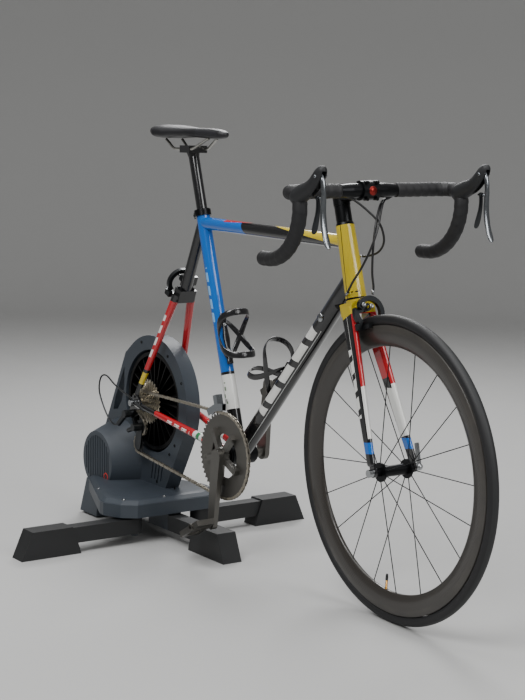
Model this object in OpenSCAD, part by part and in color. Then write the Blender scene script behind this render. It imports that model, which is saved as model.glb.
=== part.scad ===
// Road bicycle clamped by its rear dropouts to a direct-drive turbo trainer.
// The bicycle points along +X, its left side is +Y and the floor is z = 0.

/* [Bicycle frame] */
// Distance between the front and rear axles
wheelbase = 991; // [960:1:1020]
// Height of the rear axle above the floor, set by the trainer
axle_h = 340.4; // [336:0.2:346]
// Rear axle to bottom bracket
chainstay_l = 407.5; // [403:0.5:415]
// Height of the bottom bracket above the floor
bb_h = 266.2; // [262:0.2:271]
// Head angle from the horizontal
head_angle = 73.9; // [72.5:0.1:74.5]
// Seat angle from the horizontal
seat_angle = 72.5; // [71.5:0.1:73.5]
// Length of the head tube
head_l = 162; // [150:1:180]
// Top of the seat tube, measured from the bottom bracket
seat_tube_l = 607; // [590:1:640]
// Outer radius of the seat tube
seat_tube_r = 17; // [16.5:0.1:18]
// Radius of the top tube
top_tube_r = 15.5; // [14:0.5:19]
// Radius of the down tube
down_tube_r = 21; // [19:0.5:23]
// Space between the rear dropouts
rear_old = 130; // [126:1:135]
// Thickness of each dropout
dropout_t = 6; // [5:0.5:8]

/* [Fork and front wheel] */
// Offset of the front axle ahead of the steering axis
fork_rake = 41.2; // [38:0.1:45]
// Outer radius of the tyre
wheel_r = 335; // [330:0.5:338]
// Radius of the tyre's section
tyre_r = 12; // [11:0.5:12.5]
// Inner radius of the deep rim
rim_in_r = 267; // [255:1:290]
// Half width of the rim
rim_half_w = 10.5; // [9:0.5:11]
// Spokes in the front wheel, half on each side
spoke_count = 20; // [16:2:24]
// Space between the fork ends
front_old = 100; // [96:1:104]
// Radius of the steerer
steerer_r = 14.3; // [12.7:0.1:15]
// Angle the front wheel and bars are turned to the right at rest
turn_rest = 2.27; // [0:0.01:5]

/* [Seat] */
// Radius of the seatpost
seatpost_r = 13.6; // [12.5:0.1:13.8]
// Length of seatpost showing above the seat tube
post_show = 152; // [120:1:180]
// Length of seatpost inside the seat tube
post_in = 110; // [100:1:120]
// Length of the saddle
saddle_l = 277; // [265:1:285]
// Width of the saddle across its rear
saddle_w = 138; // [128:1:150]

/* [Bars] */
// Length of the stem
stem_l = 100; // [90:1:110]
// Stem angle from square to the steerer
stem_angle = -6; // [-10:1:0]
// Height of the spacers under the stem
spacer_h = 38; // [20:1:45]
// Half the width between the drops
bar_half_w = 213; // [200:1:220]
// Reach of the bar's front curve
bar_reach = 58; // [54:1:80]
// Drop of the bar
bar_drop = 143; // [125:1:150]
// Radius of the bar under the tape
bar_r = 12; // [11.8:0.1:12.5]
// Radius over the tape
tape_r = 15.5; // [15:0.5:17.5]

/* [Drivetrain] */
// Length of each crank arm
crank_l = 172.5; // [165:2.5:175]
// Angle of the right crank behind straight down
crank_angle = 5.9; // [0:0.1:12]
// Teeth on the large chainring
ring_big = 52; // [50:1:53]
// Teeth on the small chainring
ring_small = 39; // [34:1:39]
// Lateral position of the large chainring
ring_y = 47; // [46:0.1:48]
// Spacing of the cassette's cogs
cog_pitch = 3.7; // [3.6:0.05:3.75]
// Radius of the spindle
spindle_r = 12; // [11:0.1:12.5]

/* [Trainer] */
// Outer radius of the ring housing
ring_out_r = 175; // [168:1:190]
// Radius of the ring's opening
ring_in_r = 137; // [134:1:142]
// Radius of the drive pulley
pulley_r = 131; // [125:1:131]
// Outer radius of the brake unit's face
drum_r = 80; // [78:1:88]
// Distance of a side foot's tip from the stand's centre line
foot_reach = 427; // [400:1:440]
// Height of the feet
foot_h = 70; // [68:1:74]
// Width of each leg tube
leg_w = 40; // [36:1:44]
// Height of each leg tube
leg_h = 40; // [36:1:40]
// Sideways offset of the stand's centre line from the bicycle
stand_y = 41; // [36:1:44]

/* [Clearances] */
// Radial running clearance of pins and shafts
run_gap = 0.05; // [0.02:0.01:0.1]
// Clearance between bodies that pass each other
pass_gap = 0.4; // [0.3:0.1:1]

/* [Hidden] */
$fn = 48;
e = 0.01;

// ---- reference points ----
bb = [sqrt(pow(chainstay_l, 2) - pow(axle_h - bb_h, 2)), 0, bb_h];
front_axle = [wheelbase, 0, wheel_r];
head_tilt = 90 - head_angle;
seat_tilt = 90 - seat_angle;
steer_base = front_axle - fork_rake * [sin(head_angle), 0, cos(head_angle)];
head_low = 384;                       // distances along the steering axis
head_top = head_low + head_l;
cover_h = 7;                          // headset covers
stem_t = head_top + cover_h + spacer_h + 20;
stem_clamp_h = 40;
bar_fwd = stem_l * cos(stem_angle);
bar_up = stem_l * sin(stem_angle);
function steer_pt(fwd, y, t) = steer_base
    + [fwd * cos(head_tilt) - t * sin(head_tilt), y, fwd * sin(head_tilt) + t * cos(head_tilt)];
function seat_pt(fwd, y, s) = bb
    + [fwd * cos(seat_tilt) - s * sin(seat_tilt), y, fwd * sin(seat_tilt) + s * cos(seat_tilt)];
bar_c = steer_pt(bar_fwd, 0, stem_t + bar_up);
post_top = seat_tube_l + post_show;
rail_z = seat_pt(0, 0, post_top + 17).z;
saddle_x = seat_pt(0, 0, post_top).x - 130;   // rear end of the saddle

// the whole object's box sets its origin
drum_c = [-160, 160];                 // brake unit axis in x and z
body_r = 116;                         // where the brake unit meets the housing
x_rear = drum_c.x - body_r;
x_front = wheelbase + wheel_r;
x_mid = (x_rear + x_front) / 2;

module place() translate([-x_mid, stand_y, 0]) children();
module on_steer(fwd = 0, y = 0, t = 0)
    translate(steer_base) rotate([0, -head_tilt, 0]) translate([fwd, y, t]) children();
module on_seat(fwd = 0, y = 0, s = 0)
    translate(bb) rotate([0, -seat_tilt, 0]) translate([fwd, y, s]) children();
// the steered assembly, turned about the steering axis
module steered() place() on_steer() rotate([0, 0, -turn_rest]) rotate([0, head_tilt, 0])
    translate(-steer_base) children();
stay_tilt = 24.4;
module on_stay(back = 0, y = 0, t = 0)
    translate([0, 0, axle_h]) rotate([0, stay_tilt, 0]) rotate([0, 0, 180])
    translate([back, y, t]) children();
function stay_pt(back, y, t) = [t * sin(stay_tilt) - back * cos(stay_tilt), y,
    axle_h + t * cos(stay_tilt) + back * sin(stay_tilt)];

// ---- general shapes ----
function unit(v) = v / norm(v);
module rod(a, b, r, r2 = -1) {
    d = b - a;
    translate(a) rotate([0, acos(d.z / norm(d)), atan2(d.y, d.x)])
    cylinder(h = norm(d), r1 = r, r2 = r2 < 0 ? r : r2);
}
// cylinder along +Y between two lateral positions
module ycyl(x, z, y0, y1, r, r2 = -1)
    translate([x, y0, z]) rotate([-90, 0, 0]) cylinder(h = y1 - y0, r1 = r, r2 = r2 < 0 ? r : r2);
module xz_extrude(y0, y1) translate([0, y1, 0]) rotate([90, 0, 0]) linear_extrude(y1 - y0) children();
// outline of two circles and their common tangents, the second at distance l along +X
function link_points(r1, r2, l, n = 20) = let(a = acos((r1 - r2) / l)) concat(
    [for (i = [0:n]) let(t = a + (360 - 2 * a) * i / n) r1 * [cos(t), sin(t)]],
    [for (i = [0:n]) let(t = -a + 2 * a * i / n) [l, 0] + r2 * [cos(t), sin(t)]]);
// a strip of varying thickness along 2D points
function side(p, i) = let(n = len(p), d = unit(p[min(i + 1, n - 1)] - p[max(i - 1, 0)])) [-d.y, d.x];
function strip(p, h) = concat(
    [for (i = [0:len(p) - 1]) p[i] + side(p, i) * h[i] / 2],
    [for (i = [len(p) - 1:-1:0]) p[i] - side(p, i) * h[i] / 2]);
function smooth(p, m) = [for (i = [0:len(p) - 2], k = [0:m - 1])
    spline(p[max(i - 1, 0)], p[i], p[i + 1], p[min(i + 2, len(p) - 1)], k / m), p[len(p) - 1]];
function spline(a, b, c, d, t) = 0.5 * (2 * b + (c - a) * t + (2 * a - 5 * b + 4 * c - d) * t * t
    + (3 * b - a - 3 * c + d) * t * t * t);
// round tube swept along 3D points
module sweep(p, r, n = 8) {
    up = abs(unit(p[1] - p[0]).z) > 0.9 ? [1, 0, 0] : [0, 0, 1];
    dirs = [for (i = [0:len(p) - 1]) unit(p[min(i + 1, len(p) - 1)] - p[max(i - 1, 0)])];
    u = [for (i = 0, v = unit(cross(dirs[0], up)); i < len(p);
        i = i + 1, v = i < len(p) ? unit(v - dirs[i] * (v * dirs[i])) : v) v];
    pts = [for (i = [0:len(p) - 1], k = [0:n - 1])
        p[i] + r * (u[i] * cos(360 * k / n) + cross(dirs[i], u[i]) * sin(360 * k / n))];
    last = (len(p) - 1) * n;
    polyhedron(pts, concat([[for (k = [0:n - 1]) k]], [[for (k = [n - 1:-1:0]) last + k]],
        [for (i = [0:len(p) - 2], k = [0:n - 1])
            [i * n + k, (i + 1) * n + k, (i + 1) * n + (k + 1) % n, i * n + (k + 1) % n]]), 4);
}
module ring_sector(r_in, r_out, a0, a1, n = 16)
    polygon(concat([for (i = [0:n]) r_out * [cos(a0 + (a1 - a0) * i / n), sin(a0 + (a1 - a0) * i / n)]],
        [for (i = [n:-1:0]) r_in * [cos(a0 + (a1 - a0) * i / n), sin(a0 + (a1 - a0) * i / n)]]));

// ================= trainer =================
house_y0 = -16;                       // near and far faces of the ring housing
house_y1 = 25;
base_z0 = 72;
base_z1 = 105;
leg_z0 = foot_h - 4 - leg_h;
leg_x = 120;
leg_pivot = 96;                       // pivots, from the stand's centre line
pin_r = 6;
rotor_shaft_r = 6;
rotor_pulley_r = 20;
belt_t = 3;
axle_r = 7.5;
drum_y0 = -92;
belt_l = norm(drum_c - [0, axle_h]);
belt_a = atan2(drum_c.y - axle_h, drum_c.x);

module body_outline() {
    translate([0, axle_h]) circle(r = ring_out_r, $fn = 96);
    translate(drum_c) circle(r = body_r, $fn = 72);
    polygon([[-96, 486], [-140, 455], [-266, 210], [-235, base_z1], [66, base_z1], [150, 250],
        [-60, 330]]);
}
module crescent() polygon([[-146, 415], [-196, 322], [-206, 288], [-182, 292], [-160, 320], [-146, 360]]);
module belt_outline(extra)
    translate([0, axle_h]) rotate(belt_a)
    polygon(link_points(pulley_r + extra, rotor_pulley_r + extra, belt_l, 48));

module trainer_housing() color("#3A4149") place() difference() {
    union() {
        xz_extrude(house_y0, house_y1) body_outline();
        ycyl(0, axle_h, house_y1 - e, rear_old / 2, 34, 24);
    }
    ycyl(0, axle_h, house_y0 - 1, house_y1 - 4, ring_in_r);
    ycyl(0, axle_h, 0, rear_old / 2 + 1, axle_r);
    xz_extrude(house_y0 - 1, house_y1 + 1) crescent();
    xz_extrude(1, 19) belt_outline(6);
    ycyl(drum_c.x, drum_c.y, house_y0 - 1, house_y1 - 1.5, rotor_shaft_r + run_gap);
    for (i = [0:3]) xz_extrude(house_y0 - 1, house_y0 + 3)
        translate([-2 + i * 16, 132]) polygon([[0, 0], [5, 0], [15, 44], [10, 44]]);
}

module base_plan() polygon([[-205, -95], [60, -205], [84, -208], [133, -185], [160, -150],
    [160, 68], [133, 103], [84, 126], [60, 123], [-205, 35]]);
module trainer_base() color("#3A4149") place() {
    difference() {
        union() {
            translate([0, 0, base_z0]) linear_extrude(base_z1 - base_z0) base_plan();
            xz_extrude(-100, 15) polygon([[-205, base_z1], [-130, base_z1], [-150, 6], [-243, 6]]);
            translate([50, -33 - leg_w / 2, leg_z0]) cube([front_x - 50, leg_w, base_z0 - leg_z0 + e]);
        }
        xz_extrude(house_y0, house_y1) body_outline();
        ycyl(drum_c.x, drum_c.y, drum_y0, house_y0, drum_r, body_r - 6);
        translate([72, 112, 88]) rotate([-90, 0, 0]) cylinder(h = 40, r = inlet_r);
    }
    for (s = [-1, 1]) translate([leg_x, -stand_y + s * leg_pivot, leg_z0 - 4])
        cylinder(h = base_z0 - leg_z0 + 4 + e, r = pin_r);
    for (s = [-1, 1]) translate([leg_x, -stand_y + s * leg_pivot, leg_z0 - 4 - 3])
        cylinder(h = 3 + e, r = pin_r + 4);
}
inlet_r = 2.75;

module brake_housing() color("#3A4149") place() difference() {
    ycyl(drum_c.x, drum_c.y, drum_y0, house_y0, drum_r, body_r - 6);
    ycyl(drum_c.x, drum_c.y, drum_y0 + 10, house_y0 + 1, drum_r - 10);
    ycyl(drum_c.x, drum_c.y, drum_y0 + 2, house_y0, rotor_shaft_r + run_gap);
    translate([drum_c.x, drum_y0 - 1, drum_c.y]) for (i = [-6:6]) let(w = i * 10)
        translate([w - 2.5, 0, -sqrt(68 * 68 - w * w)])
        cube([5, 5, 2 * sqrt(68 * 68 - w * w)]);
}

module leg_tube(l) difference() {
    translate([-leg_w / 2, 0, leg_z0]) cube([leg_w, l - 20, leg_h]);
    translate([-leg_w / 2 + 3, 40, leg_z0 + 3]) cube([leg_w - 6, l, leg_h - 6]);
}
foot_l = 160;
module foot(l) difference() {        // the tube ends 20 mm inside y = l
    translate([-foot_w / 2, 0, 0]) rotate([90, 0, 90]) linear_extrude(foot_w)
        polygon([[l + 15, 0], [l - 15, foot_h], [l - foot_l + 35, foot_h], [l - foot_l + 15, 14],
            [l - foot_l + 12, 0]]);
    translate([-leg_w / 2, l - foot_l, leg_z0]) cube([leg_w, foot_l - 20, leg_h]);
}
foot_w = 54;
side_l = foot_reach - leg_pivot - 15;
front_l = 260;
front_x = 147;
module front_leg() color("#232425") place()
    translate([front_x, -33, 0]) rotate([0, 0, -90]) leg_tube(front_l);
module front_foot() color("#232425") place()
    translate([front_x, -33, 0]) rotate([0, 0, -90]) foot(front_l);
module side_place(s) translate([leg_x, -stand_y + s * leg_pivot, 0]) mirror([0, s < 0 ? 1 : 0, 0]) children();
module side_leg(s) side_place(s) difference() {
    union() {
        leg_tube(side_l);
        translate([0, 0, leg_z0]) cylinder(h = leg_h, r = leg_w / 2);
    }
    translate([0, 0, leg_z0 - 1]) cylinder(h = leg_h + 2, r = pin_r + run_gap);
}
module side_leg_right() color("#232425") place() side_leg(-1);
module side_leg_left() color("#232425") place() side_leg(1);
module side_foot_right() color("#232425") place() side_place(-1) foot(side_l);
module side_foot_left() color("#232425") place() side_place(1) foot(side_l);

belt_y0 = 5;
belt_y1 = 15;
module drive_belt() color("#1E1E1F") place() difference() {
    xz_extrude(belt_y0, belt_y1) belt_outline(pass_gap + belt_t);
    xz_extrude(belt_y0 - 1, belt_y1 + 1) belt_outline(pass_gap);
}

skewer_r = 2.5;
module trainer_axle() color("#8A8C8E") place() {
    difference() {
        ycyl(0, axle_h, -rear_old / 2, rear_old / 2, axle_r);
        ycyl(0, axle_h, -rear_old / 2 - 1, rear_old / 2 + 1, skewer_r);
    }
    ycyl(0, axle_h, -rear_old / 2 - dropout_t - 3, rear_old / 2 + dropout_t + 6, skewer_r);
    ycyl(0, axle_h, -rear_old / 2 - dropout_t - 12, -rear_old / 2 - dropout_t, 8.5);
    ycyl(0, axle_h, rear_old / 2 + dropout_t, rear_old / 2 + dropout_t + 6, 9);
}
// quick-release lever, closed along the dropout; its cam turns on an axis across the skewer
module cam_lever(y0) {
    difference() {
        translate([0, y0 + 8, 0]) sphere(r = 7.6);
        translate([-10, y0 - 2, -10]) cube([20, 2, 20]);
    }
    translate([-4.5, y0 + 5, 5]) rotate([-6, 0, 0]) cube([9, 6, 48]);
}
module rear_skewer_lever() color("#8A8C8E") place()
    translate([0, 0, axle_h]) rotate([0, 60, 0]) cam_lever(rear_old / 2 + dropout_t + 6);

module drive_pulley() color("#18191A") place() difference() {
    union() {
        difference() {
            ycyl(0, axle_h, -11, 18, pulley_r);
            ycyl(0, axle_h, -12, 10, pulley_r - 10);
        }
        ycyl(0, axle_h, -14, 20, 26);
        for (i = [0:23]) translate([0, 0, axle_h]) rotate([0, i * 15, 0])
            translate([20, -8, -1.8]) cube([pulley_r - 25, 19, 3.6]);
    }
    ycyl(0, axle_h, -19, 23, axle_r + run_gap);
}

// toothed wheel outline
chain_pitch = 12.7;
function pitch_r(n) = chain_pitch / (2 * sin(180 / n));
function tooth_points(n) = [for (i = [0:n - 1], k = [0:3])
    let(a = (i + [0.16, 0.38, 0.62, 0.84][k]) * 360 / n, r = pitch_r(n) + [-3.4, 2.4, 2.4, -3.4][k])
    r * [cos(a), sin(a)]];
cogs = [11, 12, 13, 14, 15, 17, 19, 21, 23, 25, 28];
run_cog = 4;                          // the cog that carries the chain
function cog_y(i) = -ring_y + (i - run_cog) * cog_pitch;
module cassette() color("#B5AA94") place() difference() {
    union() {
        ycyl(0, axle_h, -rear_old / 2 + 1, -23, 17);
        for (i = [0:len(cogs) - 1]) translate([0, 0, axle_h])
            xz_extrude(cog_y(i) - 0.8, cog_y(i) + 0.8) polygon(tooth_points(cogs[i]));
    }
    ycyl(0, axle_h, -rear_old / 2, -20, axle_r + run_gap);
}

module brake_rotor() color("#555A60") place() {
    ycyl(drum_c.x, drum_c.y, drum_y0 + 3, house_y1 - 2, rotor_shaft_r);
    ycyl(drum_c.x, drum_c.y, drum_y0 + 16, house_y0 - 5, drum_r - 18);
    ycyl(drum_c.x, drum_c.y, belt_y0 - 1, belt_y1 + 1, rotor_pulley_r);
}

// ================= frame =================
head_r_top = 21;
head_r_low = 23.5;
cup_r = 19;
steer_axis = [-sin(head_tilt), 0, cos(head_tilt)];
module head_tube() color("#C9B12B") place() on_steer(0, 0, head_low) difference() {
    cylinder(h = head_l, r1 = head_r_low, r2 = head_r_top);
    translate([0, 0, -1]) cylinder(h = head_l + 2, r = cup_r);
}
module headset() color("#1C1C1E") place() on_steer() difference() {
    union() {
        translate([0, 0, head_low]) cylinder(h = 12, r = cup_r);
        translate([0, 0, head_low - 4]) cylinder(h = 4, r = head_r_low);
        translate([0, 0, head_top - 12]) cylinder(h = 12, r = cup_r);
        translate([0, 0, head_top]) cylinder(h = cover_h - 1, r1 = head_r_top, r2 = 19);
    }
    translate([0, 0, head_low - 5]) cylinder(h = head_l + 20, r = steerer_r + run_gap);
    translate([0, 0, head_low + 12]) cylinder(h = head_l - 24, r = cup_r + 1);
}
down_head = steer_pt(0, 0, head_low + 44);
top_head = steer_pt(0, 0, head_top - 37);
top_seat = seat_pt(0, 0, seat_tube_l - 22);
module top_tube() color("#0A62B4") place() difference() {
    rod(top_seat, top_head, top_tube_r);
    on_seat(0, 0, 100) cylinder(h = seat_tube_l, r = seat_tube_r - 0.1);
    on_steer(0, 0, head_low - 1) cylinder(h = head_l + 2, r = head_r_top - 0.2);
}
module down_tube() color("#1C1C1E") place() difference() {
    rod(bb, down_head, down_tube_r + 1, down_tube_r);
    ycyl(bb.x, bb.z, -60, 60, bb_r);
    on_steer(0, 0, head_low) cylinder(h = head_l, r1 = head_r_low, r2 = head_r_top);
    on_seat() cylinder(h = 90, r = seat_tube_r);
    on_steer(0, 0, head_low - 60) cylinder(h = 56, r = 60);
}
bb_r = 24;
module seat_tube() color("#0A62B4") place() difference() {
    union() {
        on_seat() cylinder(h = seat_tube_l, r = seat_tube_r);
        on_seat(-2, -20, fd_s - 8) cube([8, 10, 16]);
    }
    ycyl(bb.x, bb.z, -60, 60, bb_r);
    on_seat(0, 0, seat_tube_l - post_in - 95) cylinder(h = seat_tube_l, r = seatpost_r + run_gap);
}
fd_s = 145;
cup_gap = run_gap;
module bottom_bracket() color("#1C1C1E") place() difference() {
    union() {
        ycyl(bb.x, bb.z, -34, 34, bb_r);
        ycyl(bb.x, bb.z, -37.5, 38.5, bb_r - 3);
    }
    ycyl(bb.x, bb.z, -40, 40, spindle_r + cup_gap);
}
split = [133, 27.5, 625];             // where the wishbone leaves the upper stay
stay_end = [5, rear_old / 2 + 2, axle_h + 14];
brake_t = 357;                        // caliper bolt, along the stay from the axle
bolt_r = 3;
module seat_stays() color("#A8121C") place() {
    difference() {
        union() {
            rod(seat_pt(0, 0, seat_tube_l - 14), stay_pt(0, 0, 330), 14, 15);
            on_stay(-15, -24, 308) cube([28, 48, 34]);
            for (s = [-1, 1]) rod([split.x, s * 22, split.z + 12], [stay_end.x, s * stay_end.y, stay_end.z], 11, 7);
            on_stay(14, 0, brake_t) rotate([0, 90, 0]) cylinder(h = 30, r = bolt_r);
            on_stay(14, -side_pivot.x, brake_t + side_pivot.y) rotate([0, 90, 0]) cylinder(h = 30, r = bolt_r);
            on_stay(8, -34, brake_t - 12) cube([8, 44, 24]);
        }
        on_seat(0, 0, 100) cylinder(h = seat_tube_l, r = seat_tube_r);
        on_seat(0, 0, seat_tube_l - collar_low) cylinder(h = 40, r = 40);
        for (s = [-1, 1]) translate([-30, s < 0 ? -rear_old / 2 : rear_old / 2 - 20, axle_h - 20]) cube([80, 20, 60]);
    }
}
side_pivot = [20, 4];
module dropout(s) difference() {
    translate([0, 0, 0]) xz_extrude(s < 0 ? -rear_old / 2 - dropout_t : rear_old / 2,
        s < 0 ? -rear_old / 2 : rear_old / 2 + dropout_t)
        polygon([[-12, axle_h + 8], [-6, axle_h + 20], [14, axle_h + 26], [34, axle_h + 4],
            [28, axle_h - 14], [4, axle_h - 16], [s < 0 ? -12 : -4, axle_h - (s < 0 ? 42 : 14)],
            [s < 0 ? -32 : -12, axle_h - (s < 0 ? 40 : 12)], [-16, axle_h - 10]]);
    ycyl(0, axle_h, -100, 100, skewer_r + 0.5);
    if (s < 0) ycyl(hanger.x, hanger.y, -100, 0, 5);
}
hanger = [-22, axle_h - 32];
module chain_stays() color("#A8121C") place() {
    difference() {
        for (s = [-1, 1]) rod([bb.x - 14, s * 19, bb.z + 3], [16, s * (rear_old / 2 + 2), axle_h - 2], 12, 7);
        ycyl(bb.x, bb.z, -60, 60, bb_r);
        for (s = [-1, 1]) translate([-30, s < 0 ? -rear_old / 2 : rear_old / 2 - 20, axle_h - 30]) cube([90, 20, 60]);
    }
    for (s = [-1, 1]) dropout(s);
}
collar_h = 16;
collar_low = 5;                       // how far the collar reaches down over the seat tube
module seat_clamp() color("#1C1C1E") place() on_seat(0, 0, seat_tube_l - collar_low) difference() {
    union() {
        cylinder(h = collar_h, r = seat_tube_r + 4);
        translate([-seat_tube_r - 12, -8, 0]) cube([12, 16, collar_h]);
        translate([-seat_tube_r - 7, -11, collar_h / 2]) rotate([-90, 0, 0]) cylinder(h = 22, r = 3.5);
    }
    translate([0, 0, -1]) cylinder(h = collar_low + 1, r = seat_tube_r);
    translate([0, 0, -1]) cylinder(h = collar_h + 2, r = seatpost_r + run_gap);
    translate([-seat_tube_r - 13, -1, -1]) cube([14, 2, collar_h + 2]);
}
// bottle cage standing on +X of a tube, bottle axis along z
bottle_r = 37;
cage_l = 125;
module cage(tube_r) {
    c = tube_r + 4 + bottle_r + 1;
    translate([tube_r, -9, 0]) cube([4, 18, cage_l]);
    translate([c, 0, cage_l - 12]) rotate([0, 0, 72]) rotate_extrude(angle = 216)
        translate([bottle_r + 3, 0]) circle(r = 2.6);
    translate([c, 0, 6]) rotate([0, 0, 40]) rotate_extrude(angle = 280)
        translate([bottle_r + 3, 0]) circle(r = 2.6);
    for (s = [-1, 1]) rod([c + (bottle_r + 3) * cos(72), s * (bottle_r + 3) * sin(72), cage_l - 12],
        [c + (bottle_r + 3) * cos(40), s * (bottle_r + 3) * sin(40), 6], 2.2);
    translate([tube_r + 0.5, -7, -2]) cube([bottle_r + 8, 14, 4]);
}
module bottle_cages() color("#1C1C1E") place() {
    on_seat(0, 0, 225) cage(seat_tube_r);
    translate(bb) rotate([0, 90 - down_a, 0]) translate([0, 0, 200]) rotate([0, 0, 180]) cage(down_tube_r + 1);
}
down_a = atan2(down_head.z - bb.z, down_head.x - bb.x);

// ================= seat =================
module seatpost() color("#1C1C1E") place() {
    on_seat(0, 0, seat_tube_l - post_in) cylinder(h = post_in + post_show, r = seatpost_r);
    on_seat(0, 0, post_top - 4) cylinder(h = 14, r1 = seatpost_r, r2 = 17);
    c = seat_pt(0, 0, post_top);
    difference() {
        translate([c.x - 24, -27, rail_z - 9]) cube([44, 54, 18]);
        for (s = [-1, 1]) rod([c.x - 40, s * 22, rail_z], [c.x + 40, s * 22, rail_z], 3.5);
    }
}
rail_path = [[14, 24, 24], [26, 23, 16], [44, 22, 3], [56, 22, 0], [96, 22, 0], [130, 22, 0],
    [146, 21, 4], [170, 17, 15], [196, 12, 27]];
module saddle_rails() color("#C8C8C4") place()
    for (s = [-1, 1]) sweep([for (p = rail_path) [saddle_x + 22 + p.x, s * p.y, rail_z + p.z]], 3.5);
saddle_z = 36;                        // underside of the saddle above the rails
module saddle() color("#1C1C1E") place() translate([saddle_x, 0, rail_z + 12]) {
    hull() {
        for (s = [-1, 1]) {
            translate([30, s * (saddle_w / 2 - 27), 25]) sphere(r = 20, $fn = 32);
            translate([24, s * (saddle_w / 2 - 12), 19]) sphere(r = 12, $fn = 32);
        }
        translate([130, 0, 28]) sphere(r = 14, $fn = 32);
    }
    hull() {
        translate([120, 0, 27]) sphere(r = 15, $fn = 32);
        translate([saddle_l - 12, 0, 21]) sphere(r = 12, $fn = 32);
    }
}

// ================= steering =================
crown_t = 346;
race_t = head_low - 4 - pass_gap;     // top of the fork crown
blade_y = 25;
end_y = front_old / 2;
end_t = 5;
fork_end_t = 6;
module fork() color("#DADAD6") steered() difference() {
    union() {
        on_steer(0, 0, crown_t + 8) cylinder(h = stem_t + stem_clamp_h / 2 - 2 - crown_t - 8, r = steerer_r);
        on_steer(-22, -blade_y - 6, crown_t) cube([44, 2 * blade_y + 12, race_t - crown_t - 6]);
        on_steer(0, 0, race_t - 8) cylinder(h = 8, r = head_r_low);
        for (s = [-1, 1]) on_steer() hull() {
            translate([-12, s * blade_y, crown_t + 8]) cylinder(h = 12, r = 9, $fn = 32);
            translate([12, s * blade_y, crown_t + 8]) cylinder(h = 12, r = 9, $fn = 32);
            translate([fork_rake - 6, s * (end_y + fork_end_t - 1), 20]) sphere(r = 6, $fn = 24);
            translate([fork_rake + 4, s * (end_y + fork_end_t - 1), 20]) sphere(r = 6, $fn = 24);
        }
        for (s = [-1, 1]) on_steer(fork_rake, 0, 0)
            translate([0, s < 0 ? -end_y - fork_end_t : end_y, 0]) rotate([-90, 0, 0]) {
                cylinder(h = fork_end_t, r = 10);
                translate([-8, -22, 0]) cube([16, 22, fork_end_t]);
            }
        on_steer(16, 0, front_brake_t) rotate([0, 90, 0]) cylinder(h = 34, r = bolt_r);
        on_steer(16, -side_pivot.x, front_brake_t + side_pivot.y) rotate([0, 90, 0]) cylinder(h = 34, r = bolt_r);
    }
    for (s = [-1, 1]) on_steer(fork_rake, 0, 0)
        translate([0, s < 0 ? -end_y : end_y - 12, 0]) rotate([-90, 0, 0])
        translate([-16, -42, 0]) cube([32, 64, 12]);
    on_steer(fork_rake, -100, 0) rotate([-90, 0, 0]) cylinder(h = 200, r = skewer_r + 0.5);
}
front_brake_t = 357;

clamp_r = 15.9;
module stem() color("#1C1C1E") steered() difference() {
    union() {
        on_steer(0, 0, stem_t - stem_clamp_h / 2) cylinder(h = stem_clamp_h, r = steerer_r + 4.5);
        on_steer(0, 0, head_top + cover_h) cylinder(h = spacer_h, r = steerer_r + 3.5);
        rod(steer_pt(8, 0, stem_t), bar_c, 16, 15);
        translate(bar_c + [0, -22, 0]) rotate([-90, 0, 0]) cylinder(h = 44, r = clamp_r + 5.5);
        on_steer(0, 0, stem_t + stem_clamp_h / 2) cylinder(h = 5, r = steerer_r + 2.5);
        for (k = [-1, 1], s = [-1, 1]) translate(bar_c + [6, s * 13, k * 18]) rotate([0, 90, 0]) cylinder(h = 14, r = 3.5);
    }
    on_steer(0, 0, head_top) cylinder(h = stem_t + stem_clamp_h / 2 - 2 - head_top, r = steerer_r);
    translate(bar_c + [0, -30, 0]) rotate([-90, 0, 0]) cylinder(h = 60, r = clamp_r);
}

// bar path: straight top, forward bend, tight front curve, long lower curve, straight end
bend_r = 30;
front_r = bar_reach - bend_r;
low_r = bar_drop - front_r;
module bar_solid(r, y0 = 0, back = 22) {
    for (s = [-1, 1]) mirror([0, s < 0 ? 1 : 0, 0]) {
        translate([0, y0, 0]) rotate([-90, 0, 0]) cylinder(h = bar_half_w - bend_r - y0, r = r);
        translate([bend_r, bar_half_w - bend_r, 0]) rotate([0, 0, 90]) rotate_extrude(angle = 90)
            translate([bend_r, 0]) circle(r = r);
        translate([bend_r, bar_half_w, -front_r]) rotate([90, 0, 0]) rotate_extrude(angle = 90)
            translate([front_r, 0]) circle(r = r);
        translate([bend_r + front_r - low_r, bar_half_w, -front_r]) rotate([90, 0, 0]) rotate([0, 0, -90])
            rotate_extrude(angle = 90) translate([low_r, 0]) circle(r = r);
        translate([bend_r + front_r - low_r - back, bar_half_w, -front_r - low_r]) rotate([0, 90, 0])
            cylinder(h = back, r = r);
    }
}
bar_taper = 45;                       // half width of the thick middle of the bar
tape_y = 75;
module handlebar() color("#2A2B2D") steered() translate(bar_c) {
    bar_solid(bar_r);
    translate([0, -bar_taper, 0]) rotate([-90, 0, 0]) cylinder(h = 2 * bar_taper, r = clamp_r);
    for (s = [-1, 1]) mirror([0, s < 0 ? 1 : 0, 0]) translate([0, bar_taper, 0]) rotate([-90, 0, 0])
        cylinder(h = tape_y - bar_taper, r1 = clamp_r, r2 = bar_r + 1.5);
}
module bar_tape() color("#1C1C1E") steered() translate(bar_c) difference() {
    bar_solid(tape_r, tape_y, 27);
    bar_solid(bar_r, tape_y - 1);
}

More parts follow.
